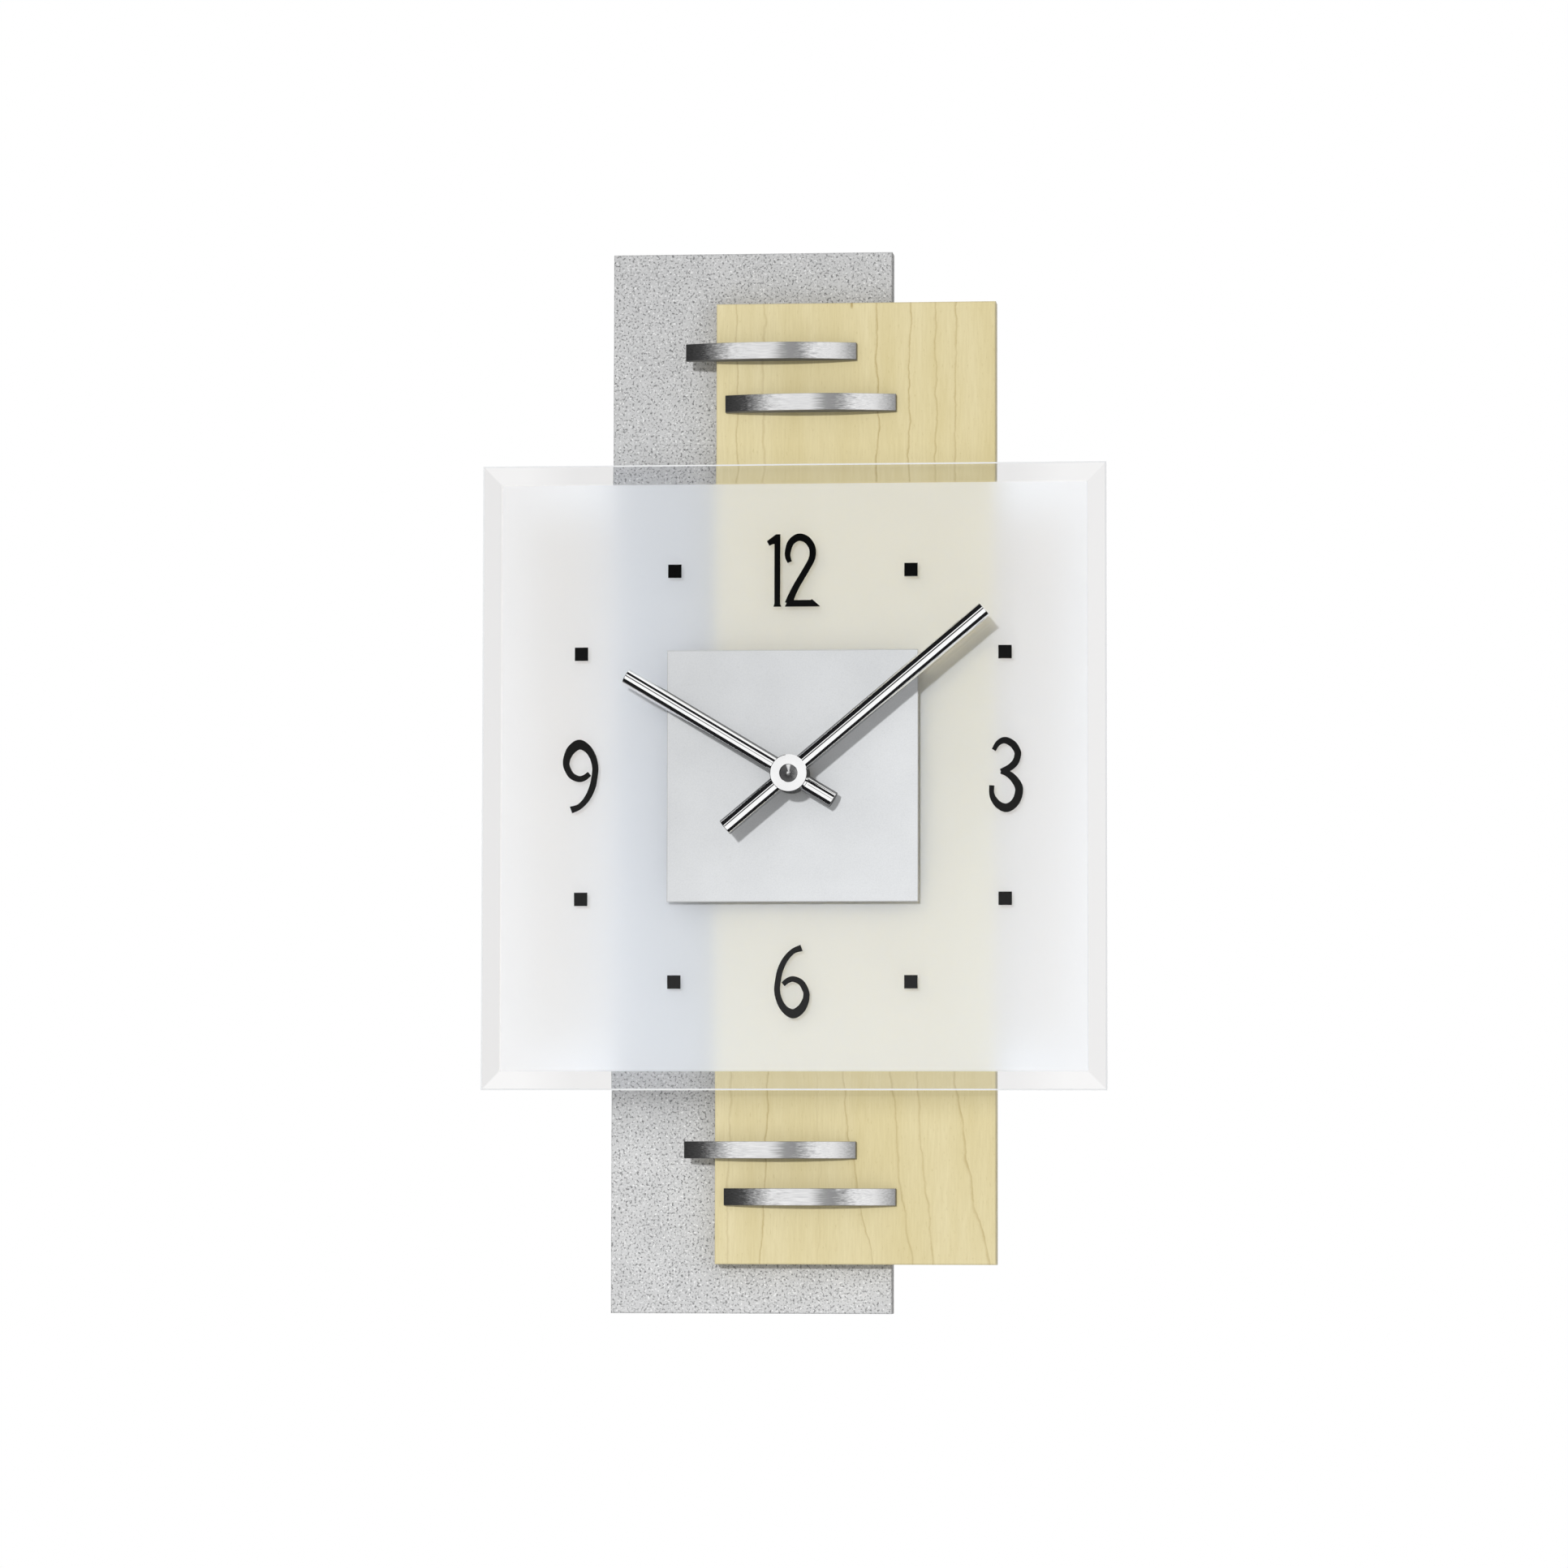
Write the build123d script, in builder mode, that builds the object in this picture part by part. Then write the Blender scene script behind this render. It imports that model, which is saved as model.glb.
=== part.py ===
from build123d import *
from math import cos, pi, radians, sin, tan
import os

# Wall clock: two offset boards, a bevelled glass dial on standoffs, and a quartz movement.
# Millimetres. X is to the right and Z is up, seen from the front. The wall is the plane Y = 0,
# and depths are measured from it towards the viewer, along -Y. The dial's axis is X = Z = 0.

os.makedirs("parts", exist_ok=True)

# Boards
silver_width = 108.5
silver_height = 410.0
silver_thickness = 10.0
silver_x = -17.8
silver_z = -0.4
maple_width = 108.0
maple_height = 370.0
maple_thickness = 10.0
maple_shift_x = 40.9
maple_shift_z = -1.0
board_edge_radius = 0.8
board_screw_radius = 1.75
board_screw_bite = 6.0
board_screw_x = (-17.0, 22.0)
board_screw_from_window = 24.0
board_screw_from_end = 64.0

# Glass, its plate and its standoffs
glass_side = 240.0
glass_thickness = 4.0
glass_gap = 9.0
bevel_width = 7.5
bevel_depth = 1.8
plate_side = 96.4
plate_thickness = 0.5
standoff_radius = 6.0
standoff_inset = 0.2
standoff_screw_radius = 2.0
standoff_screw_bite = 6.0
bond_thickness = 0.4

# Bow bars
bar_length = 66.0
bar_height = 6.5
bar_end_thickness = 2.5
bar_rise = 5.0
bar_edge_radius = 0.3
bar_stagger = 15.3
bar_overhang = 11.6
bar_drops_top = (19.1, 39.1)
bar_lifts_bottom = (43.7, 25.8)
bar_screw_spacing = 32.0
bar_screw_radius = 1.5
bar_screw_bite = 4.0

# Hanger
hanger_x = 0.0
hanger_drop = 36.0
hanger_width = 44.0
hanger_height = 22.0
hanger_thickness = 1.5
keyhole_radius = 4.5
keyslot_width = 4.6
keyslot_rise = 6.0
hanger_screw_spacing = 34.0
hanger_screw_radius = 1.5
hanger_screw_length = 7.0
hanger_pocket_width = 12.0
hanger_pocket_depth = 6.0

# Movement case
case_side = 56.0
case_depth = 16.0
case_wall = 1.2
case_front_wall = 1.4
cover_thickness = 1.4
case_corner = 2.0
window_margin = 3.0
rubber_thickness = 1.0
rubber_width = 6.0
cover_screw_radius = 1.0
cover_screw_length = 6.0
cover_boss_radius = 2.0
cover_boss_inset = 2.5

# Bush, nut and washers
bush_radius = 4.0
bush_flange_radius = 6.0
bush_flange_thickness = 0.6
bush_above_nut = 0.2
glass_hole_margin = 1.0
washer_radius = 6.5
washer_thickness = 0.5
nut_across_flats = 11.0
nut_thickness = 1.6

# Hands
hand_rod_radius = 3.0
hand_wall = 0.5
hand_end = 1.0
hand_seam = 2.4
hand_edge_radius = 0.3
hub_chamfer = 0.2
hub_radius = 7.1
hub_step = 0.3
hub_gap = 0.6
minute_length = 97.0
minute_tail = 32.0
minute_angle = 50.0
hour_length = 74.0
hour_tail = 19.0
hour_angle = 301.0
hand_nut_radius = 3.4
hand_nut_thickness = 2.0
hand_nut_sink = 0.7
hand_nut_cone = 1.3

# Wheels
arbor_radius = 1.6
hour_tube_wall = 0.85
arbor_thread_radius = 1.2
centre_seat_radius = 1.2
pivot_radius = 0.5
pivot_depth = 0.8
stud_radius = 0.8
wheel_thickness = 1.0
pinion_margin = 0.3
level_end_gap = 0.9
rotor_module = 0.2
seconds_module = 0.35
third_module = 0.2
centre_module = 0.25
motion_module = 0.3
leaves = 8
intermediate_teeth = 60
seconds_teeth = 32
third_teeth = 60
centre_teeth = 64
cannon_teeth = 12
motion_teeth = 36
motion_leaves = 10
hour_teeth = 40
setting_teeth = 12
third_bearing = 135.0
seconds_bearing = 140.0
intermediate_bearing = 155.0
rotor_bearing = 55.0
motion_bearing = 30.0
setting_bearing = 12.0
wheel_tooth_share = 0.42
leaf_share = 0.32
wheel_addendum = 0.8
leaf_addendum = 0.5
dedendum = 1.2
tip_taper = 0.45
collar_radius = 2.2
collar_thickness = 0.6
clutch_radius = 2.6
clutch_thickness = 0.2
knob_radius = 6.0
knob_thickness = 2.6
knob_grooves = 18
knob_groove_radius = 0.5
knob_gap = 0.4
knob_edge = 0.4
setting_arbor_radius = 1.2

# Motor and electronics
magnet_radius = 3.0
magnet_length = 2.4
stator_bore_gap = 0.6
stator_ring_width = 1.6
stator_thickness = 2.0
core_width = 3.2
core_end_x = 21.0
core_post_radius = 1.5
core_posts_x = (-7.0, 19.0)
coil_start_x = -1.0
coil_length = 17.0
coil_flange = 0.8
coil_flange_side = 10.0
bobbin_wall = 0.8
winding_side = 8.6
winding_corner = 2.15
board_left_x = 16.4
board_width = 10.0
board_bottom_z = -5.5
board_height = 19.5
board_thickness = 1.0
board_standoff = 2.0
board_posts_z = (-3.0, 11.0)
chip_side = 6.0
chip_thickness = 1.2
chip_edge_radius = 0.4
chip_z = 8.5
crystal_radius = 1.0
crystal_length = 6.0
crystal_z = -4.0

# Battery and contacts
battery_radius = 7.25
battery_length = 49.5
battery_nub_radius = 2.75
battery_nub_length = 1.0
contact_thickness = 0.4
contact_side = 10.0
contact_boss_radius = 2.0

# Countersunk screws, as shares of the shank's radius
head_share = 2.0
head_taper = 45.0
recess_span_share = 1.6
recess_width_share = 0.4
recess_depth_share = 0.6

# Clearances
running_fit = 0.05
press_fit = 0.03
screw_fit = 0.1
seat_gap = 0.05
bay_gap = 0.15

# Depths, from the wall to the front
silver_front = silver_thickness
maple_front = silver_front + maple_thickness
glass_back = maple_front + glass_gap
glass_front = glass_back + glass_thickness
plate_front = glass_front + plate_thickness
washer_front = plate_front + washer_thickness
nut_front = washer_front + nut_thickness
bush_front = nut_front + bush_above_nut
hub_length = 2 * (hand_rod_radius + hub_step)
hour_hub_back = bush_front + hub_step
hour_hub_front = hour_hub_back + hub_length
minute_hub_back = hour_hub_front + hub_gap
minute_hub_front = minute_hub_back + hub_length
case_front = glass_back - rubber_thickness
case_back = case_front - case_depth
inner_front = case_front - case_front_wall
inner_back = case_back + cover_thickness

# Outlines of the boards
maple_x = silver_x + maple_shift_x
maple_z = silver_z + maple_shift_z
maple_left = maple_x - maple_width / 2
maple_top = maple_z + maple_height / 2
maple_bottom = maple_z - maple_height / 2
silver_top = silver_z + silver_height / 2
window_half = case_side / 2 + window_margin

# Spaces inside the case
inner_half = case_side / 2 - case_wall
bay_bottom = -inner_half
bay_top = bay_bottom + 2 * (battery_radius + bay_gap)
gear_bottom = bay_top + case_wall
battery_z = (bay_bottom + bay_top) / 2
battery_depth = inner_front - bay_gap - battery_radius

# Wheel levels, from the back of the case to the front
levels = 6
level_step = (inner_front - inner_back - 2 * level_end_gap - wheel_thickness) / (levels - 1)
(intermediate_level, seconds_level, third_level, centre_level, motion_level, hour_level) = (
    inner_back + level_end_gap + n * level_step for n in range(levels)
)
hour_module = motion_module * (cannon_teeth + motion_teeth) / (motion_leaves + hour_teeth)
hour_tube_bore = arbor_radius + running_fit
hour_tube_radius = hour_tube_bore + hour_tube_wall
bush_bore = hour_tube_radius + running_fit


def beside(point, bearing, module, teeth, other_teeth):
    """The centre of a wheel that meshes with the wheel at point."""
    reach = module * (teeth + other_teeth) / 2
    return (point[0] + reach * cos(radians(bearing)), point[1] + reach * sin(radians(bearing)))


axis = (0.0, 0.0)
third_at = beside(axis, third_bearing, centre_module, centre_teeth, leaves)
seconds_at = beside(third_at, seconds_bearing, third_module, third_teeth, leaves)
intermediate_at = beside(seconds_at, intermediate_bearing, seconds_module, seconds_teeth, leaves)
rotor_at = beside(intermediate_at, rotor_bearing, rotor_module, intermediate_teeth, leaves)
motion_at = beside(axis, motion_bearing, motion_module, cannon_teeth, motion_teeth)
setting_at = beside(motion_at, setting_bearing, motion_module, motion_teeth, setting_teeth)


def at_depth(depth):
    """The plane at this depth, facing the viewer, with X to the right and Z up."""
    return Plane.XZ.offset(depth)


def discs(depth, points, radius):
    """Round faces at one depth."""
    with BuildSketch(at_depth(depth)) as faces:
        with Locations(*points):
            Circle(radius)
    return faces.sketch


def slab(depth, x, z, width, height):
    """A rectangular face at one depth, centred on x and z."""
    with BuildSketch(at_depth(depth)) as face:
        with Locations((x, z)):
            Rectangle(width, height)
    return face.sketch


def countersunk(points, depth, shank, length, margin):
    """Shanks with cone heads, that go towards the viewer from this depth."""
    head_height = (head_share - 1) * shank / tan(radians(head_taper))
    with BuildPart() as group:
        extrude(discs(depth, points, head_share * shank + margin), amount=head_height, taper=head_taper)
        extrude(discs(depth, points, shank + margin), amount=length + margin)
    return group.part


def screws(points, depth, shank, length):
    """Countersunk screws with a cross recess, driven towards the viewer from this depth."""
    recess = (recess_span_share * shank, recess_width_share * shank)
    with BuildPart() as group:
        add(countersunk(points, depth, shank, length, 0))
        with BuildSketch(at_depth(depth)):
            with Locations(*points):
                Rectangle(*recess)
                Rectangle(*reversed(recess))
        extrude(amount=recess_depth_share * shank, mode=Mode.SUBTRACT)
    return group.part


def screw_holes(points, depth, shank, length):
    """The space for countersunk screws, with their clearance."""
    return countersunk(points, depth, shank, length, screw_fit)


def toothed(depth, centre, teeth, module, phase, share, addendum):
    """A gear's face: one tooth points along phase, and its flanks are straight."""
    pitch_radius = module * teeth / 2
    outline = []
    for n in range(teeth):
        middle = radians(phase + 360 * n / teeth)
        half = share * pi / teeth
        for side, radius, width in (
            (-1, pitch_radius - dedendum * module, 1.0),
            (-1, pitch_radius + addendum * module, tip_taper),
            (1, pitch_radius + addendum * module, tip_taper),
            (1, pitch_radius - dedendum * module, 1.0),
        ):
            angle = middle + side * half * width
            outline.append((centre[0] + radius * cos(angle), centre[1] + radius * sin(angle)))
    with BuildSketch(at_depth(depth)) as face:
        with BuildLine():
            Polyline(*outline, close=True)
        make_face()
    return face.sketch


def wheel_face(depth, centre, teeth, module, phase):
    return toothed(depth, centre, teeth, module, phase, wheel_tooth_share, wheel_addendum)


def pinion_face(depth, centre, teeth, module, phase):
    return toothed(depth, centre, teeth, module, phase, leaf_share, leaf_addendum)


def meshed(phase, teeth, bearing, other_teeth):
    """The phase of a gear that lies along bearing from a gear with this phase, and meshes with it."""
    share = (bearing - phase) * teeth / 360
    return bearing + 180 + (share - 0.5) * 360 / other_teeth


pinion_length = wheel_thickness + 2 * pinion_margin
arbor_back = inner_back - pivot_depth
arbor_front = inner_front + pivot_depth
arbor_length = arbor_front - arbor_back
plain_arbors = (third_at, seconds_at, intermediate_at, rotor_at)

board_screw_z = (
    maple_top - board_screw_from_end,
    window_half + board_screw_from_window,
    -window_half - board_screw_from_window,
    maple_bottom + board_screw_from_end,
)
board_screw_points = [(x, z) for x in board_screw_x for z in board_screw_z]
board_screw_length = silver_thickness + board_screw_bite

standoff_reach = plate_side / 2 - standoff_radius - standoff_inset
silver_standoff_points = [(-standoff_reach, z) for z in (standoff_reach, -standoff_reach)]
maple_standoff_points = [(standoff_reach, z) for z in (standoff_reach, -standoff_reach)]

bar_left = maple_left - bar_overhang
bar_places = {
    "upper_bow_bar_left": (bar_left, maple_top - bar_drops_top[0]),
    "upper_bow_bar_right": (bar_left + bar_stagger, maple_top - bar_drops_top[1]),
    "lower_bow_bar_left": (bar_left, maple_bottom + bar_lifts_bottom[0]),
    "lower_bow_bar_right": (bar_left + bar_stagger, maple_bottom + bar_lifts_bottom[1]),
}
bar_screw_points = [
    (x + bar_length / 2 + side * bar_screw_spacing / 2, z)
    for x, z in bar_places.values()
    for side in (-1, 1)
]
bar_screw_length = maple_thickness + bar_screw_bite

hanger_z = silver_top - hanger_drop
hanger_screw_points = [
    (hanger_x + side * hanger_screw_spacing / 2, hanger_z) for side in (-1, 1)
]
keyslot_z = hanger_z + keyslot_rise

cover_boss_x = inner_half - cover_boss_inset
cover_boss_points = [
    (side * cover_boss_x, z)
    for side in (-1, 1)
    for z in (inner_half - cover_boss_inset, gear_bottom + cover_boss_inset)
]

magnet_depth = (seconds_level + wheel_thickness + centre_level) / 2 - magnet_length / 2
stator_depth = magnet_depth + (magnet_length - stator_thickness) / 2
stator_front = stator_depth + stator_thickness
core_z = rotor_at[1]
core_post_points = [(x, core_z) for x in core_posts_x]
board_depth = inner_front - board_standoff - board_thickness
board_x = board_left_x + board_width / 2
board_z = board_bottom_z + board_height / 2
board_post_points = [(board_x, z) for z in board_posts_z]

# Silver board: window behind the movement, pocket behind the hanger, screw holes
with BuildPart() as silver_board:
    extrude(slab(0, silver_x, silver_z, silver_width, silver_height), amount=silver_thickness)
    fillet(silver_board.faces().sort_by(Axis.Y)[0].edges(), board_edge_radius)
    extrude(
        slab(0, *axis, 2 * window_half, 2 * window_half),
        amount=silver_thickness,
        mode=Mode.SUBTRACT,
    )
    extrude(
        slab(0, hanger_x, hanger_z, hanger_width + 2 * seat_gap, hanger_height + 2 * seat_gap),
        amount=hanger_thickness,
        mode=Mode.SUBTRACT,
    )
    with BuildSketch(at_depth(hanger_thickness)):
        with Locations((hanger_x, (hanger_z + keyslot_z) / 2)):
            SlotCenterToCenter(keyslot_rise, hanger_pocket_width, rotation=90)
    extrude(amount=hanger_pocket_depth, mode=Mode.SUBTRACT)
    add(
        screw_holes(hanger_screw_points, 0, hanger_screw_radius, hanger_screw_length),
        mode=Mode.SUBTRACT,
    )
    add(
        screw_holes(board_screw_points, 0, board_screw_radius, board_screw_length),
        mode=Mode.SUBTRACT,
    )
    add(
        screw_holes(silver_standoff_points, 0, standoff_screw_radius, silver_thickness),
        mode=Mode.SUBTRACT,
    )
silver_board.part.label = "silver_board"
export_step(silver_board.part, "parts/silver_board.step")

# Maple board: notch for the movement, open at its left edge, and screw holes
with BuildPart() as maple_board:
    extrude(slab(silver_front, maple_x, maple_z, maple_width, maple_height), amount=maple_thickness)
    fillet(maple_board.faces().sort_by(Axis.Y)[0].edges(), board_edge_radius)
    notch_width = window_half - maple_left + board_edge_radius
    extrude(
        slab(silver_front, window_half - notch_width / 2, 0, notch_width, 2 * window_half),
        amount=maple_thickness,
        mode=Mode.SUBTRACT,
    )
    extrude(
        discs(silver_front, board_screw_points, board_screw_radius + screw_fit),
        amount=board_screw_bite + screw_fit,
        mode=Mode.SUBTRACT,
    )
    add(
        screw_holes(maple_standoff_points, silver_front, standoff_screw_radius, maple_thickness),
        mode=Mode.SUBTRACT,
    )
    add(
        screw_holes(bar_screw_points, silver_front, bar_screw_radius, maple_thickness),
        mode=Mode.SUBTRACT,
    )
maple_board.part.label = "maple_board"
export_step(maple_board.part, "parts/maple_board.step")

# Screws that join the boards, hold the standoffs and hold the bow bars
board_screws = screws(board_screw_points, 0, board_screw_radius, board_screw_length)
board_screws.label = "board_screws"
export_step(board_screws, "parts/board_screws.step")

silver_standoff_screws = screws(
    silver_standoff_points, 0, standoff_screw_radius, silver_thickness + standoff_screw_bite
)
silver_standoff_screws.label = "silver_standoff_screws"
export_step(silver_standoff_screws, "parts/silver_standoff_screws.step")

maple_standoff_screws = screws(
    maple_standoff_points,
    silver_front,
    standoff_screw_radius,
    maple_thickness + standoff_screw_bite,
)
maple_standoff_screws.label = "maple_standoff_screws"
export_step(maple_standoff_screws, "parts/maple_standoff_screws.step")

bow_bar_screws = screws(bar_screw_points, silver_front, bar_screw_radius, bar_screw_length)
bow_bar_screws.label = "bow_bar_screws"
export_step(bow_bar_screws, "parts/bow_bar_screws.step")

# Glass dial: bevelled all round, with a hole for the bush
with BuildPart() as glass_dial:
    extrude(slab(glass_back, *axis, glass_side, glass_side), amount=glass_thickness - bevel_depth)
    with BuildSketch(at_depth(glass_front - bevel_depth)):
        Rectangle(glass_side, glass_side)
    with BuildSketch(at_depth(glass_front)):
        Rectangle(glass_side - 2 * bevel_width, glass_side - 2 * bevel_width)
    loft()
    extrude(
        discs(glass_back, [axis], bush_radius + glass_hole_margin),
        amount=glass_thickness,
        mode=Mode.SUBTRACT,
    )
glass_dial.part.label = "glass_dial"
export_step(glass_dial.part, "parts/glass_dial.step")

# Dial plate on the front of the glass
with BuildPart() as dial_plate:
    extrude(slab(glass_front, *axis, plate_side, plate_side), amount=plate_thickness)
    extrude(
        discs(glass_front, [axis], bush_radius + screw_fit),
        amount=plate_thickness,
        mode=Mode.SUBTRACT,
    )
dial_plate.part.label = "dial_plate"
export_step(dial_plate.part, "parts/dial_plate.step")

# Standoffs from each board to the glass, bonded to it behind the plate
for label, points, start in (
    ("silver_standoffs", silver_standoff_points, silver_front),
    ("maple_standoffs", maple_standoff_points, maple_front),
):
    with BuildPart() as standoffs:
        extrude(
            discs(start, points, standoff_radius), amount=glass_back - bond_thickness - start
        )
        extrude(
            discs(start, points, standoff_screw_radius + screw_fit),
            amount=standoff_screw_bite + screw_fit,
            mode=Mode.SUBTRACT,
        )
    standoffs.part.label = label
    export_step(standoffs.part, f"parts/{label}.step")

with BuildPart() as bond_discs:
    extrude(
        discs(
            glass_back - bond_thickness,
            silver_standoff_points + maple_standoff_points,
            standoff_radius,
        ),
        amount=bond_thickness,
    )
bond_discs.part.label = "bond_discs"
export_step(bond_discs.part, "parts/bond_discs.step")

# Bow bars: flat on the maple, with an arched front
for label, (left, middle_z) in bar_places.items():
    right = left + bar_length
    end_y = -(maple_front + bar_end_thickness)
    with BuildPart() as bow_bar:
        with BuildSketch(Plane.XY.offset(middle_z - bar_height / 2)):
            with BuildLine():
                Polyline((left, end_y), (left, -maple_front), (right, -maple_front), (right, end_y))
                ThreePointArc((left, end_y), (left + bar_length / 2, end_y - bar_rise), (right, end_y))
            make_face()
        extrude(amount=bar_height)
        front = bow_bar.faces().filter_by(GeomType.CYLINDER)
        fillet(front.edges(), bar_edge_radius)
        extrude(
            discs(maple_front, bar_screw_points, bar_screw_radius + screw_fit),
            amount=bar_screw_bite + screw_fit,
            mode=Mode.SUBTRACT,
        )
    bow_bar.part.label = label
    export_step(bow_bar.part, f"parts/{label}.step")

# Hanger plate, flush with the back of the silver board, and its screws
with BuildPart() as hanger_plate:
    extrude(slab(0, hanger_x, hanger_z, hanger_width, hanger_height), amount=hanger_thickness)
    with BuildSketch(Plane.XZ):
        with Locations((hanger_x, hanger_z)):
            Circle(keyhole_radius)
        with Locations((hanger_x, (hanger_z + keyslot_z) / 2)):
            SlotCenterToCenter(keyslot_rise, keyslot_width, rotation=90)
    extrude(amount=hanger_thickness, mode=Mode.SUBTRACT)
    add(
        screw_holes(hanger_screw_points, 0, hanger_screw_radius, hanger_screw_length),
        mode=Mode.SUBTRACT,
    )
hanger_plate.part.label = "hanger_plate"
export_step(hanger_plate.part, "parts/hanger_plate.step")

hanger_screws = screws(hanger_screw_points, 0, hanger_screw_radius, hanger_screw_length)
hanger_screws.label = "hanger_screws"
export_step(hanger_screws, "parts/hanger_screws.step")

# Movement case: gear space and battery bay, both open at the back
with BuildPart() as movement_case:
    with BuildSketch(at_depth(case_back)):
        RectangleRounded(case_side, case_side, case_corner)
    extrude(amount=case_depth)
    gear_height = inner_half - gear_bottom
    extrude(
        slab(case_back, 0, gear_bottom + gear_height / 2, 2 * inner_half, gear_height),
        amount=inner_front - case_back,
        mode=Mode.SUBTRACT,
    )
    extrude(
        slab(case_back, 0, battery_z, 2 * inner_half, bay_top - bay_bottom),
        amount=inner_front - case_back,
        mode=Mode.SUBTRACT,
    )
    extrude(
        discs(inner_back, cover_boss_points, cover_boss_radius), amount=inner_front - inner_back
    )
    extrude(
        discs(inner_back, cover_boss_points, cover_screw_radius + screw_fit),
        amount=cover_screw_length,
        mode=Mode.SUBTRACT,
    )
    extrude(
        discs(stator_front, core_post_points, core_post_radius), amount=inner_front - stator_front
    )
    extrude(
        discs(board_depth + board_thickness, board_post_points, core_post_radius),
        amount=board_standoff,
    )
    extrude(
        discs(motion_level, [motion_at], stud_radius), amount=inner_front - motion_level
    )
    extrude(
        discs(inner_front, plain_arbors + (setting_at,), pivot_radius + running_fit),
        amount=pivot_depth + seat_gap,
        mode=Mode.SUBTRACT,
    )
    extrude(
        discs(inner_front, [axis], bush_radius + press_fit),
        amount=case_front_wall,
        mode=Mode.SUBTRACT,
    )
movement_case.part.label = "movement_case"
export_step(movement_case.part, "parts/movement_case.step")

# Back cover of the gear space, with the rear bearings
with BuildPart() as movement_cover:
    extrude(
        slab(
            case_back,
            0,
            gear_bottom + gear_height / 2,
            2 * (inner_half - seat_gap),
            gear_height - 2 * seat_gap,
        ),
        amount=cover_thickness,
    )
    extrude(
        discs(inner_back - pivot_depth - seat_gap, plain_arbors + (axis,), pivot_radius + running_fit),
        amount=pivot_depth + seat_gap,
        mode=Mode.SUBTRACT,
    )
    extrude(
        discs(case_back, [setting_at], arbor_radius + running_fit),
        amount=cover_thickness,
        mode=Mode.SUBTRACT,
    )
    add(
        screw_holes(cover_boss_points, case_back, cover_screw_radius, cover_thickness),
        mode=Mode.SUBTRACT,
    )
movement_cover.part.label = "movement_cover"
export_step(movement_cover.part, "parts/movement_cover.step")

cover_screws = screws(cover_boss_points, case_back, cover_screw_radius, cover_screw_length)
cover_screws.label = "cover_screws"
export_step(cover_screws, "parts/cover_screws.step")

# Bush, rubber washer, metal washer and nut that clamp the movement to the glass
with BuildPart() as threaded_bush:
    extrude(discs(inner_front, [axis], bush_radius), amount=bush_front - inner_front)
    extrude(discs(case_front, [axis], bush_flange_radius), amount=bush_flange_thickness)
    extrude(
        discs(inner_front, [axis], bush_bore),
        amount=bush_front - inner_front,
        mode=Mode.SUBTRACT,
    )
threaded_bush.part.label = "threaded_bush"
export_step(threaded_bush.part, "parts/threaded_bush.step")

with BuildPart() as rubber_washer:
    rubber_bore = bush_flange_radius + screw_fit
    extrude(discs(case_front, [axis], rubber_bore + rubber_width), amount=rubber_thickness)
    extrude(discs(case_front, [axis], rubber_bore), amount=rubber_thickness, mode=Mode.SUBTRACT)
rubber_washer.part.label = "rubber_washer"
export_step(rubber_washer.part, "parts/rubber_washer.step")

with BuildPart() as brass_washer:
    extrude(discs(plate_front, [axis], washer_radius), amount=washer_thickness)
    extrude(
        discs(plate_front, [axis], bush_radius + screw_fit),
        amount=washer_thickness,
        mode=Mode.SUBTRACT,
    )
brass_washer.part.label = "brass_washer"
export_step(brass_washer.part, "parts/brass_washer.step")

with BuildPart() as fixing_nut:
    with BuildSketch(at_depth(washer_front)):
        RegularPolygon(nut_across_flats / 2, 6, major_radius=False)
    extrude(amount=nut_thickness)
    extrude(
        discs(washer_front, [axis], bush_radius + press_fit),
        amount=nut_thickness,
        mode=Mode.SUBTRACT,
    )
fixing_nut.part.label = "fixing_nut"
export_step(fixing_nut.part, "parts/fixing_nut.step")


def hand(angle, length, tail, hub_back, hub_front, bore):
    """A rolled-tube hand with a seam at its back, closed ends and a round hub."""
    rod_depth = (hub_back + hub_front) / 2
    along = Vector(sin(radians(angle)), 0, cos(radians(angle)))
    rod_plane = Plane(Vector(0, -rod_depth, 0), x_dir=(0, -1, 0), z_dir=along)
    hollow_radius = hand_rod_radius - hand_wall
    with BuildPart() as made:
        with BuildSketch(rod_plane.offset(-tail)):
            Circle(hand_rod_radius)
        extrude(amount=length + tail)
        fillet(made.edges().filter_by(GeomType.CIRCLE), hand_edge_radius)
        with BuildSketch(rod_plane.offset(hand_end - tail)):
            Circle(hollow_radius)
            with Locations((-hand_rod_radius / 2, 0)):
                Rectangle(hand_rod_radius + hand_wall, hand_seam)
        extrude(amount=length + tail - 2 * hand_end, mode=Mode.SUBTRACT)
        extrude(discs(hub_back, [axis], hub_radius), amount=hub_front - hub_back)
        rim = made.edges().filter_by(GeomType.CIRCLE).sort_by(Axis.Y)[0]
        chamfer(rim, hub_chamfer)
        extrude(discs(hub_back, [axis], bore), amount=hub_front - hub_back, mode=Mode.SUBTRACT)
    return made.part


# Hour side: hour wheel with its tube, and the hour hand pressed onto the tube
motion_leaf_phase = meshed(0.0, hour_teeth, motion_bearing, motion_leaves)
with BuildPart() as hour_wheel:
    extrude(wheel_face(hour_level, axis, hour_teeth, hour_module, 0.0), amount=wheel_thickness)
    extrude(
        discs(hour_level, [axis], hour_tube_radius),
        amount=hour_hub_front - hub_step - hour_level,
    )
    extrude(
        discs(hour_level, [axis], hour_tube_bore),
        amount=hour_hub_front - hour_level,
        mode=Mode.SUBTRACT,
    )
hour_wheel.part.label = "hour_wheel"
export_step(hour_wheel.part, "parts/hour_wheel.step")

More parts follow.
